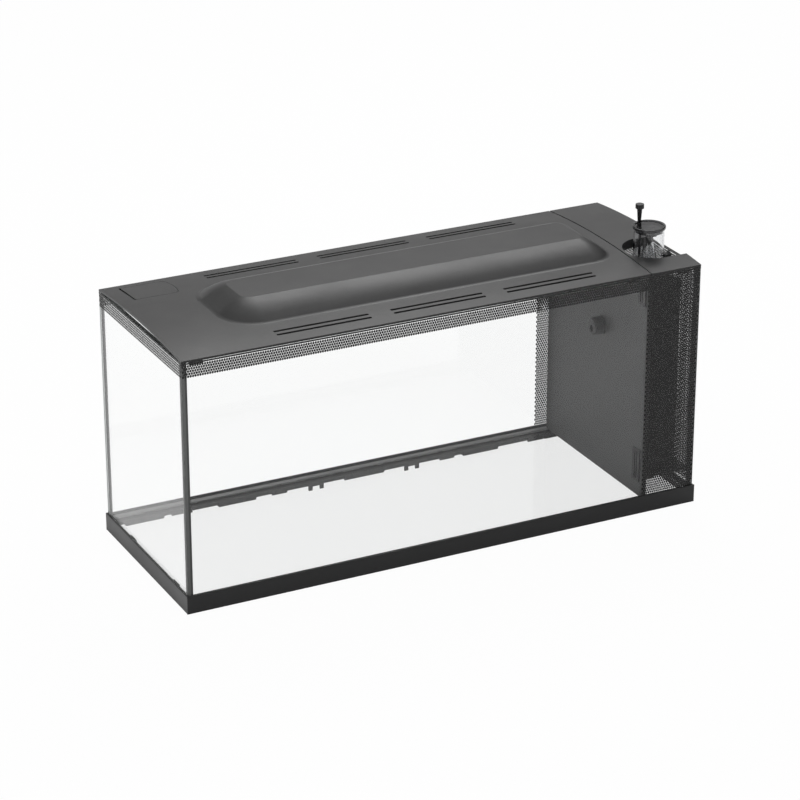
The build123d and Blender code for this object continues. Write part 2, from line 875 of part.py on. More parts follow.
def filter_box_handle():
    """Bail in the box's mouth, on two short pins, laid against the front of the rim."""
    half = handle_bar / 2
    left = box_left + box_wall + handle_side_room
    right = box_right - box_wall - handle_side_room
    bail = block(left, right, -half, half, handle_height - handle_bar, handle_height)
    for x0, x1 in ((left, left + handle_bar), (right - handle_bar, right)):
        bail += block(x0, x1, -half, half, -handle_bar, handle_height)
    bail += rod_x(box_left + handle_side_room, left, 0, 0, handle_pin_radius)
    bail += rod_x(right, box_right - handle_side_room, 0, 0, handle_pin_radius)
    return Pos(0, box_middle, handle_pivot_z) * Rot(handle_lean, 0, 0) * bail


def media_block(z0, z1):
    """A block that fills the box's section."""
    side = box_wall + media_room
    return block(box_left + side, box_right - side, box_front + side, box_back - side, z0, z1)


def ceramic_rings():
    """Short ceramic tubes stacked in layers."""
    rings = []
    middle_x = (box_left + box_right) / 2
    for layer in range(ring_layers):
        z0 = rings_bottom + layer * ring_height
        z1 = z0 + ring_height
        for column in (-1, 0, 1):
            for row in (-0.5, 0.5):
                x = middle_x + column * ring_pitch_x
                y = box_middle + row * ring_pitch_y
                tube = rod_z(x, y, z0, z1, ring_radius)
                rings.append(tube - rod_z(x, y, z0, z1, ring_radius - ring_wall))
    return group(rings)


# Skimmer

def skimmer_body():
    """Reaction tube with a collar on top."""
    tube = rod_z(skimmer_x, skimmer_y, body_bottom, collar_top, body_radius)
    tube += rod_z(skimmer_x, skimmer_y, collar_bottom, collar_top, collar_radius)
    return tube - rod_z(skimmer_x, skimmer_y, body_bottom, collar_top, body_bore)


def skimmer_base():
    """Strainer that stands on the floor and carries the tube."""
    shell = rod_z(skimmer_x, skimmer_y, floor_top, body_bottom, strainer_radius)
    shell -= rod_z(skimmer_x, skimmer_y, floor_top + body_wall, body_bottom, strainer_radius - body_wall)
    for i in range(strainer_slot_count):
        turn = Pos(skimmer_x, skimmer_y, 0) * Rot(0, 0, 360 / strainer_slot_count * (i + 0.5))
        slot_bottom = floor_top + 2 * body_wall
        shell -= turn * block(strainer_radius - 2 * body_wall, strainer_radius, -strainer_slot / 2,
                              strainer_slot / 2, slot_bottom, slot_bottom + strainer_slot_height)
    post = rod_z(skimmer_x, skimmer_y, floor_top, stone_bottom, stone_radius / 2)
    hole = rod_y(skimmer_y, skimmer_y + strainer_radius, stem_x, tube_turn_z, tube_radius + turn_room)
    return shell + post - hole


def air_stone():
    """Porous diffuser, bored for the air tube."""
    stone = rod_z(skimmer_x, skimmer_y, stone_bottom, stone_top, stone_radius)
    return stone - rod_y(skimmer_y + tube_reach, skimmer_y + stone_radius, stem_x, tube_turn_z,
                         tube_radius + turn_room)


def air_tube():
    """Air line from the stem's block down to the stone."""
    start = (stem_x, stem_y, stem_block_bottom)
    corner = (stem_x, stem_y, tube_turn_z)
    end = (stem_x, skimmer_y + tube_reach, tube_turn_z)
    return bent_pipe(start, corner, end, tube_bend, tube_radius, tube_bore)


def stem_block():
    """Block on the collar that guides the air stem."""
    piece = block(stem_x - stem_block_half, stem_x + stem_block_half, skimmer_y + body_bore,
                  stem_y + stem_radius + stem_block_wall, stem_block_bottom, stem_block_top)
    piece -= rod_z(skimmer_x, skimmer_y, stem_block_bottom, collar_bottom, body_radius)
    piece -= rod_z(skimmer_x, skimmer_y, collar_bottom, collar_top, collar_radius)
    piece -= rod_z(skimmer_x, skimmer_y, collar_top, stem_block_top, cup_radius + lift_room)
    piece -= rod_z(stem_x, stem_y, stem_block_bottom, stem_block_top, tube_bore)
    return piece - rod_z(stem_x, stem_y, stem_block_top - stem_socket, stem_block_top,
                         stem_radius + turn_room)


def air_stem():
    """Stem that widens towards the knob."""
    bottom = stem_block_top - stem_socket + lift_room
    lower = rod_z(stem_x, stem_y, bottom, stem_top - stem_taper, stem_radius)
    upper = Cone(stem_radius, stem_top_radius, stem_taper, align=(Align.CENTER, Align.CENTER, Align.MAX))
    return lower + Pos(stem_x, stem_y, stem_top) * upper


def air_knob():
    """Fluted knob on the stem's end."""
    knob = rod_z(stem_x, stem_y, stem_top, knob_top, knob_radius)
    knob = fillet(knob.faces().sort_by(Axis.Z)[-1].edges(), knob_flute)
    for i in range(knob_flute_count):
        angle = radians(360 / knob_flute_count * i)
        knob -= rod_z(stem_x + knob_radius * cos(angle), stem_y + knob_radius * sin(angle),
                      stem_top, knob_top, knob_flute)
    return knob


def skimmer_cup():
    """Clear cup with the conical neck that the foam climbs, and a spigot for the body."""
    shell = rod_z(skimmer_x, skimmer_y, cup_bottom, cup_top, cup_radius)
    shell -= rod_z(skimmer_x, skimmer_y, neck_bottom, cup_top, cup_radius - cup_wall)
    neck_place = Pos(skimmer_x, skimmer_y, (neck_bottom + neck_top) / 2)
    shell += neck_place * Cone(neck_foot_radius, neck_top_radius, neck_height)
    spigot_radius = body_bore - spigot_room
    spigot_bottom = cup_bottom - spigot_drop
    shell += rod_z(skimmer_x, skimmer_y, spigot_bottom, cup_bottom, spigot_radius)
    shell -= neck_place * Cone(neck_foot_radius - neck_wall, neck_top_radius - neck_wall, neck_height)
    shell -= rod_z(skimmer_x, skimmer_y, cup_bottom, neck_bottom, neck_foot_radius - neck_wall)
    return shell - rod_z(skimmer_x, skimmer_y, spigot_bottom, cup_bottom, spigot_radius - spigot_wall)


def neck_cap():
    """Dark guard on top of the neck."""
    cap = rod_z(skimmer_x, skimmer_y, neck_top, neck_top + neck_cap_flange, neck_top_radius)
    cap += rod_z(skimmer_x, skimmer_y, neck_top, neck_top + neck_cap_height, neck_cap_radius)
    bore = neck_cap_radius - neck_cap_wall
    return cap - rod_z(skimmer_x, skimmer_y, neck_top, neck_top + neck_cap_height, bore)


def cup_lid():
    """Flared lid with a shallow dish on top and a plug that enters the cup."""
    top = cup_top + lid_thick
    disc = rod_z(skimmer_x, skimmer_y, cup_top, top, lid_radius)
    disc -= rod_z(skimmer_x, skimmer_y, top - lid_dish, top, lid_radius - lid_dish_margin)
    disc = fillet(disc.edges().filter_by(GeomType.CIRCLE).sort_by(SortBy.RADIUS)[-2:], lid_dish)
    plug_radius = cup_radius - cup_wall - lid_plug_room
    plug = rod_z(skimmer_x, skimmer_y, cup_top - lid_plug, cup_top, plug_radius)
    plug -= rod_z(skimmer_x, skimmer_y, cup_top - lid_plug, cup_top, plug_radius - cup_wall)
    return disc + plug


def skimmer_bracket():
    """Arm from the collar to the suction cup on the end pane."""
    plate_right = inner_x - suction_length
    plate_left = plate_right - bracket_plate
    y0 = skimmer_y - bracket_half
    y1 = skimmer_y + bracket_half
    bottom = collar_bottom + bracket_rise
    arm = block(skimmer_x + body_radius, plate_right, y0, y1, bottom, bottom + bracket_arm)
    arm += block(plate_left, plate_right, y0, y1, bottom, bottom + bracket_height)
    return arm - rod_z(skimmer_x, skimmer_y, collar_bottom, collar_top, collar_radius)


# Heater

def heater_tube():
    """Glass tube closed at its foot."""
    tube = rod_z(heater_x, heater_y, heater_bottom, heater_tube_top, heater_radius)
    return tube - rod_z(heater_x, heater_y, heater_bottom + heater_wall, heater_tube_top,
                        heater_radius - heater_wall)


def heater_core():
    """Wound ceramic core inside the tube."""
    return rod_z(heater_x, heater_y, heater_bottom + heater_wall, heater_tube_top - heater_spigot,
                 heater_core_radius)


def heater_cap():
    """Cap with a spigot in the tube, the dial's hole and the lead's gland."""
    cap = rod_z(heater_x, heater_y, heater_tube_top, heater_cap_top, heater_cap_radius)
    cap = fillet(cap.faces().sort_by(Axis.Z)[-1].edges(), heater_cap_round)
    cap += rod_z(heater_x, heater_y, heater_tube_top - heater_spigot, heater_tube_top,
                 heater_radius - heater_wall - joint_room)
    cap += rod_z(heater_x + heater_gland_shift, heater_y, heater_tube_top, heater_cap_top + gland_length,
                 heater_gland_radius)
    return cap - rod_z(heater_x + heater_dial_shift, heater_y, heater_cap_top - dial_pin - turn_room,
                       heater_cap_top, dial_pin_radius + turn_room)


def heater_clips():
    """Two rings round the heater, each on a suction cup."""
    clips = []
    inner = heater_radius + clip_room
    outer = inner + clip_wall
    for rise in clip_rises:
        z0 = heater_bottom + rise
        z1 = z0 + clip_height
        ring = rod_z(heater_x, heater_y, z0, z1, outer)
        ring += block(heater_x, heater_x + outer, heater_y - suction_neck, heater_y + suction_neck, z0, z1)
        clips.append(ring - rod_z(heater_x, heater_y, z0, z1, inner))
    return group(clips)


# Main cover

def dome_section(share, inset, z):
    """Rounded outline of the dome: share 0 is its foot, share 1 is the ridge."""
    left = dome_left + (ridge_left - dome_left) * share + inset
    right = dome_right + (ridge_right - dome_right) * share - inset
    front = dome_front + (-ridge_half - dome_front) * share + inset
    back = dome_back + (ridge_half - dome_back) * share - inset
    corner_left = dome_corner_left + (ridge_corner_left - dome_corner_left) * share
    corner_right = dome_corner_right + (ridge_corner_right - dome_corner_right) * share
    outline = make_face(Polyline((left, front), (right, front), (right, back), (left, back), close=True))
    outline = fillet(outline.vertices().filter_by_position(Axis.X, left - 1, left + 1), corner_left)
    outline = fillet(outline.vertices().filter_by_position(Axis.X, right - 1, right + 1), corner_right)
    return Pos(0, 0, z) * outline


def dome_solid(inset):
    """The dome as a solid with bowed sides, drawn in by inset."""
    top = dome_top - inset
    foot = dome_foot - inset
    middle = foot + (top - foot) * bulge_share
    return loft([dome_section(0, inset, foot), dome_section(0.5, inset, middle), dome_section(1, inset, top)])


def is_dome_foot(edge):
    """True for the edges where the dome meets the arch."""
    box = edge.bounding_box()
    inside = box.min.X > dome_left - 1 and box.max.X < dome_right + 1 and box.min.Y > dome_front - 1
    return inside and box.max.Y < dome_back + 1 and dome_foot < box.min.Z and box.max.Z < dome_foot + 5


def vent_slots():
    """Cutters for the paired slots along both long edges."""
    cutters = []
    height = cover_thick + cover_rise
    for i in range(slot_groups):
        x = slot_start + slot_length / 2 + i * (slot_length + slot_gap)
        for setback in slot_setbacks:
            for side in (-1, 1):
                outline = Pos(x, side * (glass_y - setback), glass_top) * SlotOverall(slot_length, slot_width)
                cutters.append(extrude(outline, height))
    return cutters


def hatch_outline(gap, hinge_gap, hinge_corner):
    """Hatch outline with a bowed free edge, drawn in by the gaps."""
    left = hatch_left + hinge_gap
    right = hatch_right - gap
    front = hatch_front + gap
    back = hatch_back - gap
    corner = right - hatch_bow
    lines = [Line((left, front), (corner, front)),
             ThreePointArc((corner, front), (right, (front + back) / 2), (corner, back)),
             Line((corner, back), (left, back)),
             Line((left, back), (left, front))]
    outline = make_face(lines)
    outline = fillet(outline.vertices().filter_by_position(Axis.X, left - 1, left + 1), hinge_corner)
    return fillet(outline.vertices().filter_by_position(Axis.X, corner - 1, corner + 1), hatch_corner_right)


def hatch_prism(gap, hinge_gap, hinge_corner):
    """Upright prism over the hatch outline."""
    outline = hatch_outline(gap, hinge_gap, hinge_corner)
    return Pos(0, 0, glass_top) * extrude(outline, cover_rise + cover_thick)


hinge_x = hatch_left + hatch_hinge_gap + hinge_setback
hinge_slope = atan2(underside(hatch_front) - underside(hatch_back), hatch_back - hatch_front)
hinge_direction = (0, cos(hinge_slope), -sin(hinge_slope))


def hinge_rod(y0, y1, radius):
    """A cylinder along the hatch's hinge axis, which follows the arch's slope."""
    z0 = underside(hatch_front) - hinge_drop - (y0 - hatch_front) * tan(hinge_slope)
    length = (y1 - y0) / cos(hinge_slope)
    plane = Plane(origin=(hinge_x, y0, z0), z_dir=hinge_direction)
    return plane * Cylinder(radius, length, align=(Align.CENTER, Align.CENTER, Align.MIN))


def hinge_web(y0, y1):
    """Web that joins a hinge barrel to the arch above it."""
    x0 = hinge_x - hinge_lug_radius
    x1 = hinge_x + hinge_lug_radius
    column = block(x0, x1, y0, y1, glass_top - hinge_drop, cover_edge + cover_rise)
    return column & arch_slab(x0, x1, cover_thick / 2, cover_thick + hinge_drop)


front_lug = (hatch_front - hinge_lug_length - hatch_gap, hatch_front - hatch_gap)
back_lug = (hatch_back + hatch_gap, hatch_back + hatch_gap + hinge_lug_length)
knuckles = ((hatch_front + knuckle_inset, hatch_front + knuckle_inset + knuckle_length),
            (hatch_back - knuckle_inset - knuckle_length, hatch_back - knuckle_inset))


def rest_ribs(x0, x1):
    """Flat landings on the long panes' top edges."""
    ribs = block(x0, x1, -glass_y, -glass_y + rest_rib, glass_top, glass_top + rest_rib_height)
    return ribs + block(x0, x1, glass_y - rest_rib, glass_y, glass_top, glass_top + rest_rib_height)


def locating_lugs(places):
    """Lugs that hang inside the long panes and stop the cover from sliding off."""
    outer = inner_y - lug_room
    lugs = []
    for centre in places:
        for side in (-1, 1):
            low = min(side * outer, side * (outer - lug_thick))
            lugs.append(block(centre - lug_length / 2, centre + lug_length / 2, low, low + lug_thick,
                              glass_top - lug_drop, glass_top + cover_thick / 2 + 1))
    return lugs


def lamp_bosses():
    """Screw bosses under the dome's ceiling."""
    posts = []
    for x, y in ear_centres:
        posts.append(rod_z(x, y, lamp_top, dome_top - dome_wall / 2, boss_radius))
    return posts


def boss_holes():
    """Screw holes in the bosses."""
    holes = []
    for x, y in ear_centres:
        holes.append(rod_z(x, y, lamp_top, lamp_top + screw_length, screw_radius + screw_room))
    return holes


def hatch_stop():
    """Lip that the closed hatch rests over, on a root under the cover."""
    middle = (hatch_front + hatch_back) / 2
    y0, y1 = middle - stop_width / 2, middle + stop_width / 2
    low = glass_top - stop_thick - stop_clearance
    high = cover_edge + cover_rise
    x0, x1, x2 = hatch_right - stop_reach, hatch_right + stop_clearance, hatch_right + stop_reach
    lip_depth = cover_thick + stop_clearance
    lip = block(x0, x2, y0, y1, low, high) & arch_slab(x0, x2, lip_depth, lip_depth + stop_thick)
    root = block(x1, x2, y0, y1, low, high) & arch_slab(x1, x2, cover_thick / 2, lip_depth + stop_thick / 2)
    return lip + root


def main_cover():
    """Arched shell with the dome, vent slots, hatch opening, ribs, lugs and bosses."""
    body = arch_slab(-glass_x, main_end, 0, cover_thick) + dome_solid(0)
    body = fillet(body.edges().filter_by_position(Axis.Z, dome_top - 0.05, dome_top + 0.05), ridge_round)
    body = fillet([edge for edge in body.edges() if is_dome_foot(edge)], dome_foot_round)
    body -= dome_solid(dome_wall)
    body += rest_ribs(-glass_x, main_end)
    for piece in locating_lugs(main_lug_places) + lamp_bosses():
        body += piece
    for cutter in vent_slots() + boss_holes():
        body -= cutter
    body -= hatch_prism(0, 0, hatch_opening_corner)
    for y0, y1 in (front_lug, back_lug):
        body += hinge_rod(y0, y1, hinge_lug_radius) + hinge_web(y0, y1)
    body -= hinge_rod(front_lug[0], back_lug[1], hinge_pin_radius + hinge_clearance)
    return body + hatch_stop()


def feeding_hatch():
    """Flap cut from the same arch, with two knuckles under its straight edge."""
    flap = arch_slab(hatch_left, hatch_right, 0, cover_thick)
    flap = flap & hatch_prism(hatch_gap, hatch_hinge_gap, hatch_corner_left)
    for y0, y1 in knuckles:
        flap += hinge_rod(y0, y1, hinge_lug_radius) + hinge_web(y0, y1)
    return flap - hinge_rod(hatch_front, hatch_back, hinge_pin_radius + hinge_clearance)


def hatch_pin():
    """Steel pin through the cover's lugs and the hatch's knuckles."""
    return hinge_rod(front_lug[0], back_lug[1], hinge_pin_radius)


# Lamp

def lamp_housing():
    """Aluminium trough, open below, with four ears for the screws."""
    half = lamp_width / 2
    trough = block(lamp_left, lamp_right, -half, half, lamp_bottom, lamp_top)
    trough -= block(lamp_left + lamp_wall, lamp_right - lamp_wall, -half + lamp_wall, half - lamp_wall,
                    lamp_bottom, lamp_ceiling)
    for x, y in ear_centres:
        ear = block(x - ear_length / 2, x + ear_length / 2, y - ear_reach / 2, y + ear_reach / 2,
                    lamp_ceiling, lamp_top)
        trough += ear - rod_z(x, y, lamp_ceiling, lamp_top, screw_radius + screw_room)
    return trough


def lamp_board():
    """Circuit board under the trough's ceiling."""
    side = lamp_wall + board_margin
    half = lamp_width / 2 - side
    return block(lamp_left + side, lamp_right - side, -half, half, lamp_ceiling - board_thick, lamp_ceiling)


def lamp_emitters():
    """Light emitters in two rows on the board."""
    top = lamp_ceiling - board_thick
    start = lamp_left + lamp_wall + board_margin + emitter
    pitch = (lamp_right - lamp_wall - board_margin - emitter - start) / (emitter_count - 1)
    half = emitter / 2
    chips = []
    for y in (-emitter_row, emitter_row):
        for i in range(emitter_count):
            x = start + i * pitch
            chips.append(block(x - half, x + half, y - half, y + half, top - emitter_height, top))
    return group(chips)


def lamp_lens():
    """Clear plate that closes the trough."""
    side = lamp_wall + lens_room
    half = lamp_width / 2 - side
    return block(lamp_left + side, lamp_right - side, -half, half, lamp_bottom, lamp_bottom + lens_thick)


def lamp_screws():
    """Four screws up into the bosses."""
    screws = []
    for x, y in ear_centres:
        bottom = lamp_ceiling - screw_head
        head = rod_z(x, y, bottom, lamp_ceiling, screw_head_radius)
        slot = block(x - screw_head_radius, x + screw_head_radius, y - screw_slot / 2, y + screw_slot / 2,
                     bottom, bottom + screw_head / 2)
        shank = rod_z(x, y, lamp_ceiling, lamp_top + screw_length - lift_room, screw_radius)
        screws.append(head - slot + shank)
    return group(screws)


# Filter cover

def cut_outline(radius, end_x, z0, z1):
    """U-shaped prism: a half round end that runs straight to the right."""
    run = block(cut_x, end_x, cut_y - radius, cut_y + radius, z0, z1)
    return rod_z(cut_x, cut_y, z0, z1, radius) + run


def filter_cover():
    """Arched shell over the filter end, with the lipped cut-out."""
    x0, x1 = filter_start, glass_x
    low = glass_top - cut_lip_drop
    high = cover_edge + cover_rise
    body = arch_slab(x0, x1, 0, cover_thick) + rest_ribs(x0, x1)
    lip = cut_outline(cut_radius + cut_lip, glass_x - cut_lip_end, low, high)
    body += lip & arch_slab(x0, x1, cover_thick / 2, high - low)
    for piece in locating_lugs(filter_lug_places):
        body += piece
    return body - cut_outline(cut_radius, x1, low, high)


parts = {
    "base_rail_front": base_rail_long(-1),
    "base_rail_back": base_rail_long(1),
    "base_rail_left": base_rail_short(-1),
    "base_rail_right": base_rail_short(1),
    "support_pads": support_pads(),
    "pane_floor": pane(glue - inner_x, inner_x - glue, glue - inner_y, inner_y - glue, ledge_top, floor_top),
    "pane_front": pane(-glass_x, glass_x, -glass_y, -inner_y, ledge_top, glass_top),
    "pane_back": pane(-glass_x, glass_x, inner_y, glass_y, ledge_top, glass_top),
    "pane_left": pane(-glass_x, -inner_x, -inner_y + glue, inner_y - glue, ledge_top, glass_top),
    "pane_right": pane(inner_x, glass_x, -inner_y + glue, inner_y - glue, ledge_top, glass_top),
    "silicone_seams": silicone_seams(),
    "print_front": print_long(-1, cover_seam - print_front_lap),
    "print_back": print_long(1, cover_seam - print_back_lap),
    "print_left": print_short(-1, glass_top - print_margin - print_band),
    "print_right": print_short(1, base_height + print_margin),
    "partition": partition(),
    "overflow_comb": comb(overflow_window),
    "intake_comb": comb(intake_window),
    "baffle": baffle(),
    "box_shelf": box_shelf(),
    "outlet_bulkhead": outlet_bulkhead(),
    "outlet_nut": outlet_nut(),
    "outlet_nozzle": outlet_nozzle(),
    "riser_pipe": riser_pipe(),
    "pump_housing": pump_housing(),
    "pump_intake_cover": pump_intake_cover(),
    "impeller": impeller(),
    "impeller_shaft": impeller_shaft(),
    "flow_dial": dial(dial_place[0], dial_place[1], motor_top, dial_height),
    "suction_cups": suction_cups(),
    "filter_box": filter_box(),
    "filter_box_handle": filter_box_handle(),
    "ceramic_rings": ceramic_rings(),
    "carbon_pack": media_block(carbon_bottom, carbon_top),
    "filter_sponge": media_block(carbon_top, sponge_top),
    "skimmer_body": skimmer_body(),
    "skimmer_base": skimmer_base(),
    "air_stone": air_stone(),
    "air_tube": air_tube(),
    "stem_block": stem_block(),
    "air_stem": air_stem(),
    "air_knob": air_knob(),
    "skimmer_cup": skimmer_cup(),
    "neck_cap": neck_cap(),
    "cup_lid": cup_lid(),
    "skimmer_bracket": skimmer_bracket(),
    "heater_tube": heater_tube(),
    "heater_core": heater_core(),
    "heater_cap": heater_cap(),
    "heater_dial": dial(heater_x + heater_dial_shift, heater_y, heater_cap_top, heater_dial_height),
    "heater_clips": heater_clips(),
    "main_cover": main_cover(),
    "feeding_hatch": feeding_hatch(),
    "hatch_pin": hatch_pin(),
    "lamp_housing": lamp_housing(),
    "lamp_board": lamp_board(),
    "lamp_emitters": lamp_emitters(),
    "lamp_lens": lamp_lens(),
    "lamp_screws": lamp_screws(),
    "filter_cover": filter_cover(),
}

os.makedirs("parts", exist_ok=True)
for name, shape in parts.items():
    export_step(shape, f"parts/{name}.step")
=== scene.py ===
import json
from math import radians

import bpy
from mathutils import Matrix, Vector


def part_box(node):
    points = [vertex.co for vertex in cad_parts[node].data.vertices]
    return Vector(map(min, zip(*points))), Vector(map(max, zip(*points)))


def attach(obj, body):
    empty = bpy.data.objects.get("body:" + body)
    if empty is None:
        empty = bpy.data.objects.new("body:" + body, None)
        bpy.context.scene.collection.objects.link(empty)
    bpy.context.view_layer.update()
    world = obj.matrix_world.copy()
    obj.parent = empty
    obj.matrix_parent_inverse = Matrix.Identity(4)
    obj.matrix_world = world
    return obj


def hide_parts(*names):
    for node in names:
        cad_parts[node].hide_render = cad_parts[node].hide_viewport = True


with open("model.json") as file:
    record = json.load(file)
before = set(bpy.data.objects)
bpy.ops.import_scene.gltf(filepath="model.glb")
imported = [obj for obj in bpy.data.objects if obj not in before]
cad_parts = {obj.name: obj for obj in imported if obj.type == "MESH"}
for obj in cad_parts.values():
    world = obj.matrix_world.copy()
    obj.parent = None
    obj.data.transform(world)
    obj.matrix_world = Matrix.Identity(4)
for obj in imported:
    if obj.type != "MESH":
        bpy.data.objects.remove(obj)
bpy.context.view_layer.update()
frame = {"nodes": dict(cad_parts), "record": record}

# Looks of a rectangular aquarium with a printed dot screen, an arched cover and a side filter.
# Metres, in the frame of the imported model: +X to the filter end, +Y to the back, +Z up.

cad = frame["nodes"]
print("frame:", len(cad), "nodes")


# Selecting and finishing pieces

def deselectAll():
    if bpy.context.object and bpy.context.object.mode != "OBJECT":
        bpy.ops.object.mode_set(mode="OBJECT")
    bpy.ops.object.select_all(action="DESELECT")


def pick(*things):                       # the first one becomes the active one
    deselectAll()
    for thing in things:
        thing.select_set(True)
    bpy.context.view_layer.objects.active = things[0]


def newPiece(name):                      # name what an operator has just added
    piece = bpy.context.object
    piece.name = name
    piece.data.name = name
    return piece


def settle(piece):                       # the place goes into the mesh
    pick(piece)
    bpy.ops.object.transform_apply(location=True, rotation=True, scale=True)
    return piece


def applyModifiers(piece):
    pick(piece)
    for modifier in list(piece.modifiers):
        bpy.ops.object.modifier_apply(modifier=modifier.name)
    return piece


def editFaces(piece, test):              # edit mode, with the faces that pass the test selected
    pick(piece)
    bpy.context.tool_settings.mesh_select_mode = (False, False, True)
    for item in list(piece.data.vertices) + list(piece.data.edges):
        item.select = False
    for face in piece.data.polygons:
        face.select = test(face)
    bpy.ops.object.mode_set(mode="EDIT")


def editEdges(piece, test):              # edit mode, with the edges that pass the test selected
    pick(piece)
    bpy.context.tool_settings.mesh_select_mode = (False, True, False)
    for item in list(piece.data.vertices) + list(piece.data.polygons):
        item.select = False
    points = piece.data.vertices
    for edge in piece.data.edges:
        edge.select = test(points[edge.vertices[0]].co, points[edge.vertices[1]].co)
    bpy.ops.object.mode_set(mode="EDIT")


def objectMode():
    bpy.ops.object.mode_set(mode="OBJECT")


def joinPieces(name, pieces):
    pick(*pieces)
    bpy.ops.object.join()
    return newPiece(name)


def smoothPiece(piece, angle=35):
    pick(piece)
    bpy.ops.object.shade_smooth_by_angle(angle=radians(angle))


def blockBetween(name, low, high):       # a box primitive between two corners
    low, high = Vector(low), Vector(high)
    deselectAll()
    bpy.ops.mesh.primitive_cube_add(size=1, location=(low + high) / 2, scale=high - low)
    return settle(newPiece(name))


def arrayAlong(piece, step, count):
    rows = piece.modifiers.new("row", "ARRAY")
    rows.use_relative_offset = False
    rows.use_constant_offset = True
    rows.constant_offset_displace = step
    rows.count = count


def finishPiece(piece, body, slot, material, *replaced):
    piece.data.materials.clear()
    piece.data.materials.append(material)
    if replaced:
        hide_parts(*replaced)
    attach(piece, body)


# Node helpers

def addNode(tree, kind, **settings):
    node = tree.nodes.new(kind)
    for key, value in settings.items():
        setattr(node, key, value)
    return node


def put(tree, socket, value):            # a link for a socket, a plain value for the rest
    if isinstance(value, bpy.types.NodeSocket):
        tree.links.new(value, socket)
    elif socket.type == "RGBA":
        socket.default_value = (*value[:3], 1)
    else:
        socket.default_value = value


def math(tree, operation, first, second=0.0, clamp=False):
    node = addNode(tree, "ShaderNodeMath", operation=operation, use_clamp=clamp)
    put(tree, node.inputs[0], first)
    put(tree, node.inputs[1], second)
    return node.outputs[0]


def spread(tree, value, low, high, fromLow=0.0, fromHigh=1.0):
    node = addNode(tree, "ShaderNodeMapRange")
    for socket, given in zip(node.inputs, (value, fromLow, fromHigh, low, high)):
        put(tree, socket, given)
    return node.outputs[0]


def mixColour(tree, factor, first, second):
    node = addNode(tree, "ShaderNodeMix", data_type="RGBA")
    put(tree, node.inputs[0], factor)
    put(tree, node.inputs[6], first)
    put(tree, node.inputs[7], second)
    return node.outputs[2]


def mixValue(tree, factor, first, second):
    node = addNode(tree, "ShaderNodeMix", data_type="FLOAT")
    put(tree, node.inputs[0], factor)
    put(tree, node.inputs[2], first)
    put(tree, node.inputs[3], second)
    return node.outputs[0]


def objectPlace(tree):
    return addNode(tree, "ShaderNodeTexCoord").outputs["Object"]


def noise(tree, place, scale, detail=2.0, roughness=0.5):
    node = addNode(tree, "ShaderNodeTexNoise")
    put(tree, node.inputs["Vector"], place)
    put(tree, node.inputs["Scale"], scale)
    put(tree, node.inputs["Detail"], detail)
    put(tree, node.inputs["Roughness"], roughness)
    return node.outputs["Fac"]


def bump(tree, height, strength, distance):
    node = addNode(tree, "ShaderNodeBump")
    put(tree, node.inputs["Height"], height)
    put(tree, node.inputs["Strength"], strength)
    put(tree, node.inputs["Distance"], distance)
    return node.outputs["Normal"]


def newGroup(name, inputs, outputs):     # inputs: name to (kind, default)
    group = bpy.data.node_groups.new(name, "ShaderNodeTree")
    for label, (kind, default) in inputs.items():
        socket = group.interface.new_socket(label, in_out="INPUT", socket_type="NodeSocket" + kind)
        socket.default_value = default
    for label in outputs:
        group.interface.new_socket(label, in_out="OUTPUT", socket_type="NodeSocketFloat")
    return group, addNode(group, "NodeGroupInput"), addNode(group, "NodeGroupOutput")


def useGroup(tree, group, **values):
    node = addNode(tree, "ShaderNodeGroup", node_tree=group)
    for label, value in values.items():
        put(tree, node.inputs[label], value)
    return node


def newMaterial(name):
    material = bpy.data.materials.new(name + "Finish")
    material.use_nodes = True
    tree = material.node_tree
    tree.nodes.clear()
    shader = addNode(tree, "ShaderNodeBsdfPrincipled")
    output = addNode(tree, "ShaderNodeOutputMaterial")
    tree.links.new(shader.outputs[0], output.inputs[0])
    return material, tree, shader, output


# Effects that several finishes share

def makeMouldGrain():                    # spark-eroded mould texture, and slow shifts of shade
    group, given, out = newGroup("mouldGrain", {"Scale": ("Float", 900.0)}, ("Height", "Shade"))
    place = objectPlace(group)
    fine = noise(group, place, given.outputs["Scale"], 3.0, 0.6)
    cells = addNode(group, "ShaderNodeTexVoronoi", feature="SMOOTH_F1")
    put(group, cells.inputs["Vector"], place)
    put(group, cells.inputs["Scale"], math(group, "MULTIPLY", given.outputs["Scale"], 0.7))
    height = math(group, "ADD", fine, math(group, "MULTIPLY", cells.outputs["Distance"], 0.6))
    put(group, out.inputs["Height"], height)
    put(group, out.inputs["Shade"], noise(group, place, 7.0, 3.0, 0.55))
    return group


def makeEdgeWearAndHighlight():                      # polished edges, coloured lighter as wear and as a painted edge highlight, broken up by a noise
    inputs = {"Radius": ("Float", 0.0008), "Amount": ("Float", 1.0)}
    group, given, out = newGroup("edgeWearAndHighlight", inputs, ("Mask",))
    rounded = addNode(group, "ShaderNodeBevel", samples=4)
    put(group, rounded.inputs["Radius"], given.outputs["Radius"])
    plain = addNode(group, "ShaderNodeNewGeometry")
    facing = addNode(group, "ShaderNodeVectorMath", operation="DOT_PRODUCT")
    put(group, facing.inputs[0], rounded.outputs[0])
    put(group, facing.inputs[1], plain.outputs["Normal"])
    edge = spread(group, facing.outputs["Value"], 1.0, 0.0, 0.72, 0.985)
    broken = spread(group, noise(group, objectPlace(group), 60.0, 4.0, 0.6), 0.35, 1.0, 0.35, 0.65)
    mask = math(group, "MULTIPLY", math(group, "MULTIPLY", edge, broken), given.outputs["Amount"], True)
    put(group, out.inputs["Mask"], mask)
    return group


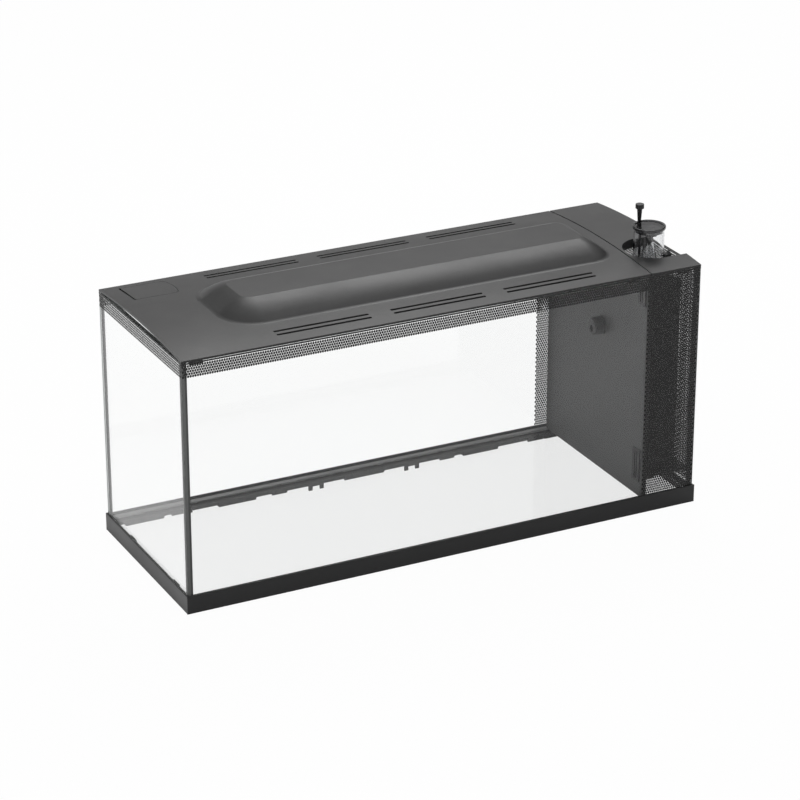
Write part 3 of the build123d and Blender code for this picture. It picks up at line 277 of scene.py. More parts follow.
def makeSettledDust():                   # thin dust on what faces up
    inputs = {"Amount": ("Float", 0.2), "Scale": ("Float", 24.0)}
    group, given, out = newGroup("settledDust", inputs, ("Mask",))
    normal = addNode(group, "ShaderNodeSeparateXYZ")
    put(group, normal.inputs[0], addNode(group, "ShaderNodeNewGeometry").outputs["Normal"])
    up = spread(group, normal.outputs["Z"], 0.0, 1.0, 0.55, 1.0)
    place = objectPlace(group)
    cloud = spread(group, noise(group, place, given.outputs["Scale"], 5.0, 0.65), 0.2, 1.0, 0.35, 0.75)
    speck = spread(group, noise(group, place, 1600.0, 1.0), 0.6, 1.0, 0.45, 0.7)
    mask = math(group, "MULTIPLY", math(group, "MULTIPLY", up, cloud), speck)
    put(group, out.inputs["Mask"], math(group, "MULTIPLY", mask, given.outputs["Amount"], True))
    return group


def makeRecessShade():                   # painted shade in slots and seams, darker where the surface is enclosed
    group, given, out = newGroup("recessShade", {"Reach": ("Float", 0.006)}, ("Mask",))
    free = addNode(group, "ShaderNodeAmbientOcclusion", samples=8, only_local=True)
    put(group, free.inputs["Distance"], given.outputs["Reach"])
    put(group, out.inputs["Mask"], spread(group, free.outputs["AO"], 1.0, 0.0, 0.45, 0.88))
    return group


def makeFineScratches():                 # hairlines along one direction
    inputs = {"Along": ("Vector", (4.0, 400.0, 400.0)), "Amount": ("Float", 0.5)}
    group, given, out = newGroup("fineScratches", inputs, ("Height", "Mask"))
    stretched = addNode(group, "ShaderNodeVectorMath", operation="MULTIPLY")
    put(group, stretched.inputs[0], objectPlace(group))
    put(group, stretched.inputs[1], given.outputs["Along"])
    line = noise(group, stretched.outputs[0], 6.0, 4.0, 0.7)
    put(group, out.inputs["Height"], line)
    put(group, out.inputs["Mask"], math(group, "MULTIPLY", spread(group, line, 0.0, 1.0, 0.35, 0.7),
                                        given.outputs["Amount"], True))
    return group


def makePores():                         # open pores, as in foam and unglazed ceramic
    group, given, out = newGroup("pores", {"Scale": ("Float", 700.0)}, ("Height", "Mask"))
    place = objectPlace(group)
    cells = addNode(group, "ShaderNodeTexVoronoi", feature="F1")
    put(group, cells.inputs["Vector"], place)
    put(group, cells.inputs["Scale"], given.outputs["Scale"])
    pit = spread(group, cells.outputs["Distance"], 0.0, 1.0, 0.1, 0.55)
    mixed = math(group, "ADD", pit, math(group, "MULTIPLY", noise(group, place, 400.0, 4.0, 0.7), 0.5))
    put(group, out.inputs["Height"], mixed)
    put(group, out.inputs["Mask"], pit)
    return group


def makeGroundEdge():                    # 1 on the ground edges of a pane, 0 on its two faces
    group, given, out = newGroup("groundEdge", {"Face": ("Vector", (0.0, 1.0, 0.0))}, ("Mask",))
    facing = addNode(group, "ShaderNodeVectorMath", operation="DOT_PRODUCT")
    put(group, facing.inputs[0], addNode(group, "ShaderNodeNewGeometry").outputs["Normal"])
    put(group, facing.inputs[1], given.outputs["Face"])
    size = math(group, "ABSOLUTE", facing.outputs["Value"])
    put(group, out.inputs["Mask"], spread(group, size, 1.0, 0.0, 0.55, 0.95))
    return group


mouldGrain = makeMouldGrain()
edgeWearAndHighlight = makeEdgeWearAndHighlight()
settledDust = makeSettledDust()
recessShade = makeRecessShade()
fineScratches = makeFineScratches()
pores = makePores()
groundEdge = makeGroundEdge()
dustColour = (0.42, 0.41, 0.39)
paintedShadeColour = (0.002, 0.002, 0.002)
print("shared effects: 7 node groups")


# Moulded plastics: one set of values for each slot of the record
mouldedLooks = {
    "base_plastic": {"colour": (0.010, 0.010, 0.0105), "rough": 0.38, "grain": 1600, "depth": 0.03,
                     "wearAndHighlight": 0.25, "dust": 0.10, "shine": 0.45},
    "cover_plastic": {"colour": (0.013, 0.013, 0.0133), "rough": 0.36, "grain": 1600, "depth": 0.04,
                      "wearAndHighlight": 0.12, "dust": 0.05, "shine": 0.42},
    "panel_plastic": {"colour": (0.092, 0.092, 0.093), "rough": 0.5, "grain": 1800, "depth": 0.02,
                      "wearAndHighlight": 0.15, "dust": 0.0, "shine": 0.4},
    "fitting_plastic": {"colour": (0.020, 0.020, 0.021), "rough": 0.42, "grain": 1200, "depth": 0.06,
                        "wearAndHighlight": 0.35, "dust": 0.05, "shine": 0.5},
    "panelFitting": {"colour": (0.062, 0.062, 0.063), "rough": 0.48, "grain": 1600, "depth": 0.04,
                     "wearAndHighlight": 0.15, "dust": 0.0, "shine": 0.4},
    "pump_plastic": {"colour": (0.022, 0.023, 0.026), "rough": 0.45, "grain": 1500, "depth": 0.10,
                     "wearAndHighlight": 0.35, "dust": 0.05, "shine": 0.5},
    "dial_plastic": {"colour": (0.50, 0.52, 0.55), "rough": 0.40, "grain": 1400, "depth": 0.05,
                     "wearAndHighlight": 0.20, "dust": 0.05, "shine": 0.5},
    "box_plastic": {"colour": (0.008, 0.008, 0.009), "rough": 0.5, "grain": 1800, "depth": 0.03,
                    "wearAndHighlight": 0.25, "dust": 0.03, "shine": 0.25},
    "skimmer_plastic": {"colour": (0.020, 0.020, 0.021), "rough": 0.40, "grain": 1300, "depth": 0.05,
                        "wearAndHighlight": 0.30, "dust": 0.03, "shine": 0.5},
    "stem_plastic": {"colour": (0.012, 0.012, 0.013), "rough": 0.26, "grain": 1600, "depth": 0.03,
                     "wearAndHighlight": 0.25, "dust": 0.03, "shine": 0.5},
    "knob_plastic": {"colour": (0.030, 0.030, 0.031), "rough": 0.42, "grain": 1600, "depth": 0.06,
                     "wearAndHighlight": 0.45, "dust": 0.08, "shine": 0.5},
    "heater_plastic": {"colour": (0.020, 0.020, 0.023), "rough": 0.40, "grain": 1400, "depth": 0.06,
                       "wearAndHighlight": 0.30, "dust": 0.04, "shine": 0.5},
    "air_line": {"colour": (0.030, 0.030, 0.031), "rough": 0.30, "grain": 500, "depth": 0.03,
                 "wearAndHighlight": 0.10, "dust": 0.04, "shine": 0.5},
}


def mouldedPlastic(name, look):
    material, tree, shader, _ = newMaterial(name)
    grain = useGroup(tree, mouldGrain, Scale=look["grain"])
    wearAndHighlight = useGroup(tree, edgeWearAndHighlight, Amount=look["wearAndHighlight"])
    dust = useGroup(tree, settledDust, Amount=look["dust"])
    shade = spread(tree, grain.outputs["Shade"], 0.88, 1.12, 0.3, 0.7)
    shaded = addNode(tree, "ShaderNodeVectorMath", operation="SCALE")
    put(tree, shaded.inputs[0], look["colour"])
    put(tree, shaded.inputs["Scale"], shade)
    # edges coloured lighter: partly wear, partly a painted highlight
    wornAndHighlit = tuple(min(1.0, 1.8 * part + 0.05) for part in look["colour"])
    edged = mixColour(tree, wearAndHighlight.outputs["Mask"], shaded.outputs[0], wornAndHighlit)
    dusty = mixColour(tree, dust.outputs["Mask"], edged, dustColour)
    # slots and seams coloured near black and made rougher: painted shade
    recess = useGroup(tree, recessShade)
    colour = mixColour(tree, recess.outputs["Mask"], dusty, paintedShadeColour)
    rough = spread(tree, grain.outputs["Shade"], look["rough"] - 0.04, look["rough"] + 0.05, 0.3, 0.7)
    polished = math(tree, "SUBTRACT", rough, math(tree, "MULTIPLY", wearAndHighlight.outputs["Mask"], 0.12))
    dull = math(tree, "ADD", dust.outputs["Mask"], math(tree, "MULTIPLY", recess.outputs["Mask"], 2.0))
    dulled = math(tree, "ADD", polished, math(tree, "MULTIPLY", dull, 0.3), True)
    put(tree, shader.inputs["Base Color"], colour)
    put(tree, shader.inputs["Roughness"], dulled)
    put(tree, shader.inputs["Normal"], bump(tree, grain.outputs["Height"], look["depth"], 0.0004))
    shader.inputs["Specular IOR Level"].default_value = look["shine"]
    return material


materials = {name: mouldedPlastic(name, look) for name, look in mouldedLooks.items()}
print("moulded plastics:", len(materials))


# Clear finishes: they let the lamps' rays through, tinted, so that what is inside is lit
paneGlass = {"colour": (0.994, 0.997, 0.996), "shadow": (0.93, 0.94, 0.935), "ior": 1.36, "rough": 0.0,
             "edgeColour": (0.55, 0.60, 0.58), "edgeRough": 0.45}
clearLooks = {
    "longPaneGlass": {**paneGlass, "face": (0, 1, 0)},
    "endPaneGlass": {**paneGlass, "face": (1, 0, 0)},
    "floorGlass": {**paneGlass, "face": (0, 0, 1)},
    "clear_plastic": {"colour": (0.95, 0.955, 0.96), "shadow": (0.86, 0.87, 0.88), "ior": 1.49,
                      "rough": 0.03},
    "smoke_plastic": {"colour": (0.075, 0.075, 0.078), "shadow": (0.12, 0.12, 0.125), "ior": 1.49,
                      "rough": 0.12},
    "heater_glass": {"colour": (0.93, 0.96, 0.95), "shadow": (0.88, 0.90, 0.89), "ior": 1.46,
                     "rough": 0.01},
    "lens_plastic": {"colour": (0.93, 0.94, 0.95), "shadow": (0.85, 0.86, 0.87), "ior": 1.49,
                     "rough": 0.10},
}


def clearFinish(name, look):             # a look with a face direction has ground edges
    material, tree, shader, output = newMaterial(name)
    colour = look["colour"]
    smear = noise(tree, objectPlace(tree), 14.0, 4.0, 0.6)
    rough = spread(tree, smear, look["rough"], look["rough"] + 0.01, 0.4, 0.7)
    if "face" in look:
        ground = useGroup(tree, groundEdge, Face=look["face"]).outputs["Mask"]
        colour = mixColour(tree, ground, colour, look["edgeColour"])
        rough = mixValue(tree, ground, rough, look["edgeRough"])
    put(tree, shader.inputs["Base Color"], colour)
    put(tree, shader.inputs["Roughness"], rough)
    shader.inputs["IOR"].default_value = look["ior"]
    shader.inputs["Transmission Weight"].default_value = 1.0
    through = addNode(tree, "ShaderNodeBsdfTransparent")
    through.inputs[0].default_value = (*look["shadow"], 1)
    rays = addNode(tree, "ShaderNodeLightPath")
    either = addNode(tree, "ShaderNodeMixShader")
    tree.links.new(rays.outputs["Is Shadow Ray"], either.inputs[0])
    tree.links.new(shader.outputs[0], either.inputs[1])
    tree.links.new(through.outputs[0], either.inputs[2])
    tree.links.new(either.outputs[0], output.inputs[0])
    return material


materials.update({name: clearFinish(name, look) for name, look in clearLooks.items()})
print("clear finishes:", len(clearLooks))


# Porous finishes: foam, ceramic, stone
porousLooks = {
    "foam": {"colour": (0.035, 0.035, 0.038), "pit": (0.010, 0.010, 0.011), "scale": 1500, "rough": 0.9,
             "depth": 0.5},
    "sponge": {"colour": (0.030, 0.055, 0.105), "pit": (0.006, 0.010, 0.020), "scale": 620, "rough": 0.95,
               "depth": 0.9},
    "ring_ceramic": {"colour": (0.78, 0.74, 0.66), "pit": (0.45, 0.41, 0.34), "scale": 1300, "rough": 0.85,
                     "depth": 0.5},
    "stone": {"colour": (0.50, 0.49, 0.45), "pit": (0.22, 0.21, 0.19), "scale": 900, "rough": 0.92,
              "depth": 0.8},
    "heater_ceramic": {"colour": (0.70, 0.67, 0.61), "pit": (0.52, 0.48, 0.42), "scale": 1800, "rough": 0.7,
                       "depth": 0.25},
    "shaft_ceramic": {"colour": (0.86, 0.85, 0.81), "pit": (0.80, 0.79, 0.75), "scale": 2400, "rough": 0.22,
                      "depth": 0.05},
    "rotor": {"colour": (0.045, 0.045, 0.050), "pit": (0.020, 0.020, 0.023), "scale": 2200, "rough": 0.5,
              "depth": 0.2},
}


def porousFinish(name, look):
    material, tree, shader, _ = newMaterial(name)
    holes = useGroup(tree, pores, Scale=look["scale"])
    blotch = noise(tree, objectPlace(tree), 40.0, 3.0)
    body = mixColour(tree, spread(tree, blotch, 0.0, 0.5, 0.35, 0.7), look["colour"], look["pit"])
    put(tree, shader.inputs["Base Color"], mixColour(tree, holes.outputs["Mask"], look["pit"], body))
    put(tree, shader.inputs["Roughness"], spread(tree, blotch, look["rough"] - 0.05, look["rough"] + 0.05))
    put(tree, shader.inputs["Normal"], bump(tree, holes.outputs["Height"], look["depth"], 0.0008))
    return material


materials.update({name: porousFinish(name, look) for name, look in porousLooks.items()})


# Metals
metalLooks = {
    "steel": {"colour": (0.58, 0.58, 0.59), "rough": 0.28, "along": (900.0, 30.0, 900.0)},
    "lamp_aluminium": {"colour": (0.74, 0.75, 0.77), "rough": 0.36, "along": (8.0, 700.0, 700.0)},
    "heaterWire": {"colour": (0.62, 0.58, 0.54), "rough": 0.35, "along": (300.0, 300.0, 300.0)},
}


def drawnMetal(name, look):
    material, tree, shader, _ = newMaterial(name)
    lines = useGroup(tree, fineScratches, Along=look["along"], Amount=0.6)
    darker = tuple(0.8 * part for part in look["colour"])
    put(tree, shader.inputs["Base Color"], mixColour(tree, lines.outputs["Mask"], look["colour"], darker))
    put(tree, shader.inputs["Roughness"], spread(tree, lines.outputs["Height"], look["rough"] - 0.08,
                                                 look["rough"] + 0.1))
    put(tree, shader.inputs["Normal"], bump(tree, lines.outputs["Height"], 0.15, 0.0002))
    shader.inputs["Metallic"].default_value = 1.0
    return material


materials.update({name: drawnMetal(name, look) for name, look in metalLooks.items()})


# Finishes of their own
siliconeLook = {"colour": (0.240, 0.240, 0.242), "rough": 0.32, "ripple": 260.0,
                "litCornerColour": (0.55, 0.55, 0.55), "cornerEdge": (-0.3914, -0.3912)}
inkLook = {"colour": (0.011, 0.011, 0.011), "rough": 0.42, "mottle": 900.0}
rubberLook = {"colour": (0.018, 0.018, 0.019), "rough": 0.55, "bloom": (0.06, 0.06, 0.06)}
carbonLook = {"colour": (0.014, 0.014, 0.015), "thread": (0.05, 0.05, 0.052), "weave": 900.0}
boardLook = {"mask": (0.80, 0.81, 0.80), "copper": (0.55, 0.57, 0.52), "track": 110.0}
emitterLook = {"phosphor": (0.88, 0.74, 0.16), "frame": (0.88, 0.88, 0.84), "grain": 2500.0}


def siliconeFinish():
    material, tree, shader, _ = newMaterial("silicone")
    ripple = noise(tree, objectPlace(tree), siliconeLook["ripple"], 2.0)
    lighter = tuple(1.35 * part for part in siliconeLook["colour"])
    across = addNode(tree, "ShaderNodeSeparateXYZ")
    put(tree, across.inputs[0], objectPlace(tree))
    # painted light: the silicone at the left corners is coloured lighter, standing in for light that the
    # glass keeps from it
    corner = spread(tree, across.outputs["X"], 1.0, 0.0, *siliconeLook["cornerEdge"])
    bead = mixColour(tree, ripple, siliconeLook["colour"], lighter)
    put(tree, shader.inputs["Base Color"], mixColour(tree, corner, bead, siliconeLook["litCornerColour"]))
    put(tree, shader.inputs["Roughness"], spread(tree, ripple, siliconeLook["rough"] - 0.06,
                                                 siliconeLook["rough"] + 0.12))
    put(tree, shader.inputs["Normal"], bump(tree, ripple, 0.2, 0.0006))
    return material


def inkFinish():
    material, tree, shader, _ = newMaterial("print_ink")
    mottle = noise(tree, objectPlace(tree), inkLook["mottle"], 3.0)
    lighter = tuple(1.8 * part for part in inkLook["colour"])
    put(tree, shader.inputs["Base Color"], mixColour(tree, mottle, inkLook["colour"], lighter))
    rough = spread(tree, mottle, inkLook["rough"] - 0.05, inkLook["rough"] + 0.08)
    put(tree, shader.inputs["Roughness"], rough)
    shader.inputs["Specular IOR Level"].default_value = 0.35
    return material


def rubberFinish():
    material, tree, shader, _ = newMaterial("cup_rubber")
    bloom = noise(tree, objectPlace(tree), 90.0, 4.0, 0.65)
    mask = spread(tree, bloom, 0.0, 0.6, 0.45, 0.8)
    put(tree, shader.inputs["Base Color"], mixColour(tree, mask, rubberLook["colour"], rubberLook["bloom"]))
    rough = spread(tree, bloom, rubberLook["rough"] - 0.1, rubberLook["rough"] + 0.15)
    put(tree, shader.inputs["Roughness"], rough)
    put(tree, shader.inputs["Normal"], bump(tree, noise(tree, objectPlace(tree), 1200.0), 0.1, 0.0003))
    return material


def carbonFinish():                      # net bag over black granules
    material, tree, shader, _ = newMaterial("carbon")
    place = objectPlace(tree)
    threads = []
    for direction in ("X", "Z"):
        wave = addNode(tree, "ShaderNodeTexWave", wave_type="BANDS", bands_direction=direction)
        put(tree, wave.inputs["Vector"], place)
        put(tree, wave.inputs["Scale"], carbonLook["weave"] / 3)
        threads.append(wave.outputs["Fac"])
    net = spread(tree, math(tree, "MAXIMUM", threads[0], threads[1]), 0.0, 1.0, 0.75, 0.95)
    granules = noise(tree, place, 500.0, 3.0, 0.7)
    put(tree, shader.inputs["Base Color"], mixColour(tree, net, carbonLook["colour"], carbonLook["thread"]))
    put(tree, shader.inputs["Roughness"], spread(tree, granules, 0.5, 0.95))
    height = math(tree, "ADD", net, granules)
    put(tree, shader.inputs["Normal"], bump(tree, height, 0.6, 0.0006))
    return material


def boardFinish():                       # white solder mask with tracks that show through
    material, tree, shader, _ = newMaterial("board")
    brick = addNode(tree, "ShaderNodeTexBrick")
    put(tree, brick.inputs["Vector"], objectPlace(tree))
    put(tree, brick.inputs["Scale"], boardLook["track"])
    put(tree, brick.inputs["Mortar Size"], 0.03)
    track = spread(tree, brick.outputs["Fac"], 0.0, 0.35)
    put(tree, shader.inputs["Base Color"], mixColour(tree, track, boardLook["mask"], boardLook["copper"]))
    put(tree, shader.inputs["Roughness"], spread(tree, noise(tree, objectPlace(tree), 300.0), 0.3, 0.45))
    put(tree, shader.inputs["Normal"], bump(tree, brick.outputs["Fac"], 0.1, 0.0003))
    return material


def emitterFinish():                     # phosphor with a pale frame grain
    material, tree, shader, _ = newMaterial("emitter")
    grain = noise(tree, objectPlace(tree), emitterLook["grain"], 2.0)
    put(tree, shader.inputs["Base Color"], mixColour(tree, spread(tree, grain, 0.0, 0.4, 0.4, 0.7),
                                                     emitterLook["phosphor"], emitterLook["frame"]))
    put(tree, shader.inputs["Roughness"], spread(tree, grain, 0.3, 0.5))
    return material


makers = {"silicone": siliconeFinish, "print_ink": inkFinish, "cup_rubber": rubberFinish,
          "carbon": carbonFinish, "board": boardFinish, "emitter": emitterFinish}
materials.update({name: make() for name, make in makers.items()})
print("materials:", len(materials))


# Every node of the model takes the finish of its slot; a pane's finish follows its direction
ownFinish = {"outlet_nozzle": "panelFitting", "outlet_bulkhead": "panelFitting",
             "pane_front": "longPaneGlass", "pane_back": "longPaneGlass", "pane_left": "endPaneGlass",
             "pane_right": "endPaneGlass", "pane_floor": "floorGlass"}
for part in frame["record"]["subparts"]:
    node = cad[part["node"]]
    finish = materials[ownFinish.get(part["node"], part["material_slot"])]
    if not node.material_slots:
        node.data.materials.append(finish)
    for place in node.material_slots:
        place.material = finish
print("nodes dressed")


# Printed dot screens on the outside of the panes
dotScreen = {"pitch": 0.00348, "rowPitch": 0.00363, "dot": 0.0034, "tall": 0.0041, "leftShare": 0.92,
             "thick": 0.0002, "sides": 8, "firstRow": 0.0049, "bandRows": 5, "lineHeight": 0.0024,
             "rim": 0.9, "frontLap": 0.001, "backLap": 0.018}


# One staggered field of dots: its rows go down from the origin, its columns go along from it
def dotField(name, origin, along, outward, columns, rows, share=1.0):
    origin, along, outward = Vector(origin), Vector(along), Vector(outward)
    fields = []
    for shift in (0, 1):
        start = origin + shift * (along * dotScreen["pitch"] / 2 - Vector((0, 0, dotScreen["rowPitch"])))
        centre = start + outward * dotScreen["thick"] / 2
        turn = (radians(90), 0, 0) if outward.y else (0, radians(90), 0)
        deselectAll()
        bpy.ops.mesh.primitive_cylinder_add(vertices=dotScreen["sides"], radius=share * dotScreen["dot"] / 2,
                                            depth=dotScreen["thick"], location=centre, rotation=turn)
        dots = settle(newPiece(name))
        editFaces(dots, lambda face: True)
        bpy.ops.transform.resize(value=(1, 1, dotScreen["tall"] / dotScreen["dot"]), center_override=centre)
        objectMode()
        editFaces(dots, lambda face: face.normal.dot(outward) > 0.9)
        bpy.ops.transform.resize(value=(dotScreen["rim"],) * 3,
                                 center_override=centre + outward * dotScreen["thick"] / 2)
        objectMode()
        arrayAlong(dots, along * dotScreen["pitch"], columns - shift)
        arrayAlong(dots, Vector((0, 0, -2 * dotScreen["rowPitch"])), (rows + 1 - shift) // 2)
        fields.append(applyModifiers(dots))
    return joinPieces(name, fields)


def printLine(name, low, high):          # the solid line above the dots
    line = blockBetween(name, low, high)
    editEdges(line, lambda a, b: True)
    bpy.ops.mesh.bevel(offset=dotScreen["thick"] / 4, segments=1)
    objectMode()
    return line


def countAcross(length):
    return int((length - dotScreen["dot"]) / dotScreen["pitch"]) + 1


# Band along the top of a long pane, and a panel below it over the filter end
def longScreen(name, node, lap):
    low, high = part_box(node)
    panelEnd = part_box("partition")[0].x - lap
    front = low.y < 0
    face = high.y if front else low.y
    outward = Vector((0, -1 if front else 1, 0))
    right = high.x - dotScreen["dot"] / 2
    top = high.z - dotScreen["firstRow"]
    bandColumns = countAcross(high.x - low.x)
    panelColumns = countAcross(high.x - panelEnd)
    rowsToBottom = int((top - low.z - dotScreen["tall"] / 2) / dotScreen["rowPitch"]) + 1
    below = top - dotScreen["bandRows"] * dotScreen["rowPitch"]
    band = dotField(name + "Band", (right, face, top), (-1, 0, 0), outward,
                    bandColumns, dotScreen["bandRows"])
    panelStart = right - dotScreen["pitch"] / 2 * (dotScreen["bandRows"] % 2)
    panel = dotField(name + "Panel", (panelStart, face, below), (-1, 0, 0), outward,
                     panelColumns, rowsToBottom - dotScreen["bandRows"])
    line = printLine(name + "Line", (low.x, low.y, high.z - dotScreen["lineHeight"]), high)
    piece = joinPieces(name, [band, panel, line])
    finishPiece(piece, "tank", "print_ink", materials["print_ink"], node)


longScreen("dotsFront", "print_front", dotScreen["frontLap"])
longScreen("dotsBack", "print_back", dotScreen["backLap"])


# Dots over an end pane, between two rows counted from the top
def endScreen(name, node, rowsFrom, rowsTo, withLine, share=1.0):
    low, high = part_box(node)
    left = low.x < 0
    face = high.x if left else low.x
    outward = Vector((-1 if left else 1, 0, 0))
    start = high.y - dotScreen["dot"] / 2 - dotScreen["pitch"] / 2 * (rowsFrom % 2)
    top = high.z - dotScreen["firstRow"] - rowsFrom * dotScreen["rowPitch"]
    piece = dotField(name, (face, start, top), (0, -1, 0), outward, countAcross(high.y - low.y),
                     rowsTo - rowsFrom, share)
    if withLine:
        line = printLine(name + "Line", (low.x, low.y, high.z - dotScreen["lineHeight"]), high)
        piece = joinPieces(name, [piece, line])
    finishPiece(piece, "tank", "print_ink", materials["print_ink"], node)


rightRows = int((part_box("print_right")[1].z - dotScreen["firstRow"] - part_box("print_right")[0].z)
                / dotScreen["rowPitch"])
endScreen("dotsLeft", "print_left", 0, dotScreen["bandRows"], True, dotScreen["leftShare"])
endScreen("dotsRightUpper", "print_right", 0, rightRows // 2, True)
endScreen("dotsRightLower", "print_right", rightRows // 2, rightRows, False)
print("dot screens done")


# Foam sponge on top of the filter box's media
spongeShape = {"slack": 0.0012, "corner": 0.004, "cuts": 26, "pore": 0.0035, "relief": 0.0012}


def roughBlock(name, node, shape):
    low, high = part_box(node)
    slack = Vector((shape["slack"],) * 3)
    block = blockBetween(name, low + slack, high - slack)
    editEdges(block, lambda a, b: True)
    bpy.ops.mesh.bevel(offset=shape["corner"], segments=3)
    bpy.ops.mesh.select_all(action="SELECT")
    bpy.ops.mesh.subdivide(number_cuts=shape["cuts"])
    objectMode()
    texture = bpy.data.textures.new(name, "CLOUDS")
    texture.noise_scale = shape["pore"]
    texture.noise_depth = 3
    relief = block.modifiers.new("relief", "DISPLACE")
    relief.texture = texture
    relief.texture_coords = "LOCAL"
    relief.strength = shape["relief"]
    relief.mid_level = 0.6
    applyModifiers(block)
    return block


sponge = roughBlock("spongeBlock", "filter_sponge", spongeShape)
smoothPiece(sponge, 60)
finishPiece(sponge, "filter_box", "sponge", materials["sponge"], "filter_sponge")


# Net bag of carbon granules under the sponge, crowned, with a welded seam along its top
carbonShape = {"slack": 0.0016, "corner": 0.006, "cuts": 22, "pore": 0.006, "relief": 0.0022,
               "seamThick": 0.0012, "seamFoot": 2.2}
carbonBag = roughBlock("carbonBag", "carbon_pack", carbonShape)
bagLow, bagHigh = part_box("carbon_pack")
bagMiddle = (bagLow + bagHigh) / 2
seam = blockBetween("bagSeam", (bagLow.x + carbonShape["corner"], bagMiddle.y - carbonShape["seamThick"] / 2,
                                bagHigh.z - carbonShape["seamFoot"] * carbonShape["slack"]),
                    (bagHigh.x - carbonShape["corner"], bagMiddle.y + carbonShape["seamThick"] / 2,
                     bagHigh.z - carbonShape["slack"] / 2))
editEdges(seam, lambda a, b: True)
bpy.ops.mesh.bevel(offset=carbonShape["seamThick"] / 3, segments=2)
objectMode()
carbonBag = joinPieces("carbonBag", [carbonBag, seam])
smoothPiece(carbonBag, 60)
finishPiece(carbonBag, "filter_box", "carbon", materials["carbon"], "carbon_pack")


# Foam pads in the channels of the base
padShape = {"length": 0.060, "width": 0.008, "setbacks": (0.060, 0.200), "round": 0.0012, "slack": 0.0001}
padLow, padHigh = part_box("support_pads")
baseLow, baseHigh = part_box("base_rail_front")
pads = []
for setback in padShape["setbacks"]:
    for end in (-1, 1):
        for side in (-1, 1):
            centre = Vector((end * (baseHigh.x - setback), side * (padHigh.y - padShape["width"] / 2), 0))
            half = Vector((padShape["length"] / 2 - padShape["slack"],
                           padShape["width"] / 2 - padShape["slack"], 0))
            pad = blockBetween("pad", (centre.x - half.x, centre.y - half.y, padLow.z + padShape["slack"]),
                               (centre.x + half.x, centre.y + half.y, padHigh.z))
            editEdges(pad, lambda a, b: True)
            bpy.ops.mesh.bevel(offset=padShape["round"], segments=3)
            objectMode()
            pads.append(pad)
padPiece = joinPieces("foamPads", pads)
smoothPiece(padPiece, 40)
finishPiece(padPiece, "tank", "foam", materials["foam"], "support_pads")
print("foam, sponge and carbon done")


# Sintered air stone in the foot of the skimmer
stoneShape = {"rings": 22, "grain": 0.0016, "relief": 0.0007, "sides": 40, "sideSlack": 0.0004,
              "endSlack": 0.0006, "endRing": 0.0021, "endRings": 3}
stoneLow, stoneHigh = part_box("air_stone")
deselectAll()
bpy.ops.mesh.primitive_cylinder_add(vertices=stoneShape["sides"],
                                    radius=(stoneHigh.x - stoneLow.x) / 2 - stoneShape["sideSlack"],
                                    depth=stoneHigh.z - stoneLow.z - stoneShape["endSlack"],
                                    location=(stoneLow + stoneHigh) / 2)
airStone = settle(newPiece("airStone"))
editFaces(airStone, lambda face: abs(face.normal.z) > 0.9)
for step in range(stoneShape["endRings"]):
    bpy.ops.mesh.inset(thickness=stoneShape["endRing"], depth=0)
bpy.ops.mesh.select_all(action="DESELECT")
objectMode()
editEdges(airStone, lambda a, b: abs(a.z - b.z) > 0.01)
bpy.ops.mesh.subdivide(number_cuts=stoneShape["rings"])
objectMode()
grainTexture = bpy.data.textures.new("stoneGrain", "CLOUDS")
grainTexture.noise_scale = stoneShape["grain"]
stoneRelief = airStone.modifiers.new("relief", "DISPLACE")
stoneRelief.texture = grainTexture
stoneRelief.texture_coords = "LOCAL"
stoneRelief.strength = stoneShape["relief"]
applyModifiers(airStone)
smoothPiece(airStone, 50)
finishPiece(airStone, "tank", "stone", materials["stone"], "air_stone")


# Rubber suction cups: four feet of the pump, one on the skimmer, two on the heater
cupShape = {"sides": 36, "rimWidth": 0.0011, "dish": 0.0012, "wideRadius": 0.008, "footRadius": 0.007,
            "tipRadius": 0.003, "footInset": 0.007, "motorBehindVolute": 0.024, "motorDepth": 0.040,
            "motorRise": 0.0096, "skimmerRise": 0.016, "skimmerLength": 0.005, "clipHalf": 0.005,
            "clipGap": 0.003, "dishSteps": 3, "dishShare": 0.2, "waist": 0.84, "lip": 0.0003}


def suctionCup(base, direction, baseRadius, length):
    base, direction = Vector(base), Vector(direction)
    turn = (0, 0, 0) if direction.z else (0, radians(-90), 0)
    deselectAll()
    bpy.ops.mesh.primitive_cone_add(vertices=cupShape["sides"], radius1=baseRadius,
                                    radius2=cupShape["tipRadius"], depth=length,
                                    location=base + direction * length / 2, rotation=turn)
    cup = settle(newPiece("suctionCup"))
    editFaces(cup, lambda face: face.normal.dot(direction) < -0.99)
    bpy.ops.mesh.inset(thickness=cupShape["rimWidth"], depth=0)
    for step in range(cupShape["dishSteps"]):    # a dished underside
        bpy.ops.mesh.inset(thickness=baseRadius * cupShape["dishShare"],
                           depth=-cupShape["dish"] / cupShape["dishSteps"])
    objectMode()
    editEdges(cup, lambda a, b: abs((a - b).dot(direction)) > 0.6 * length)
    bpy.ops.mesh.subdivide(number_cuts=3)
    objectMode()
    for point in cup.data.vertices:      # a waisted cone
        share = (point.co - base).dot(direction) / length
        if 0.05 < share < 0.95:
            axis = base + direction * share * length
            point.co = axis + (point.co - axis) * (1 - cupShape["waist"] * share * (1 - share))
    editEdges(cup, lambda a, b: abs((a - base).dot(direction)) < 1e-5
              and abs((b - base).dot(direction)) < 1e-5 and (a - base).length > 0.98 * baseRadius)
    bpy.ops.mesh.bevel(offset=cupShape["lip"], segments=2)
    objectMode()
    return cup


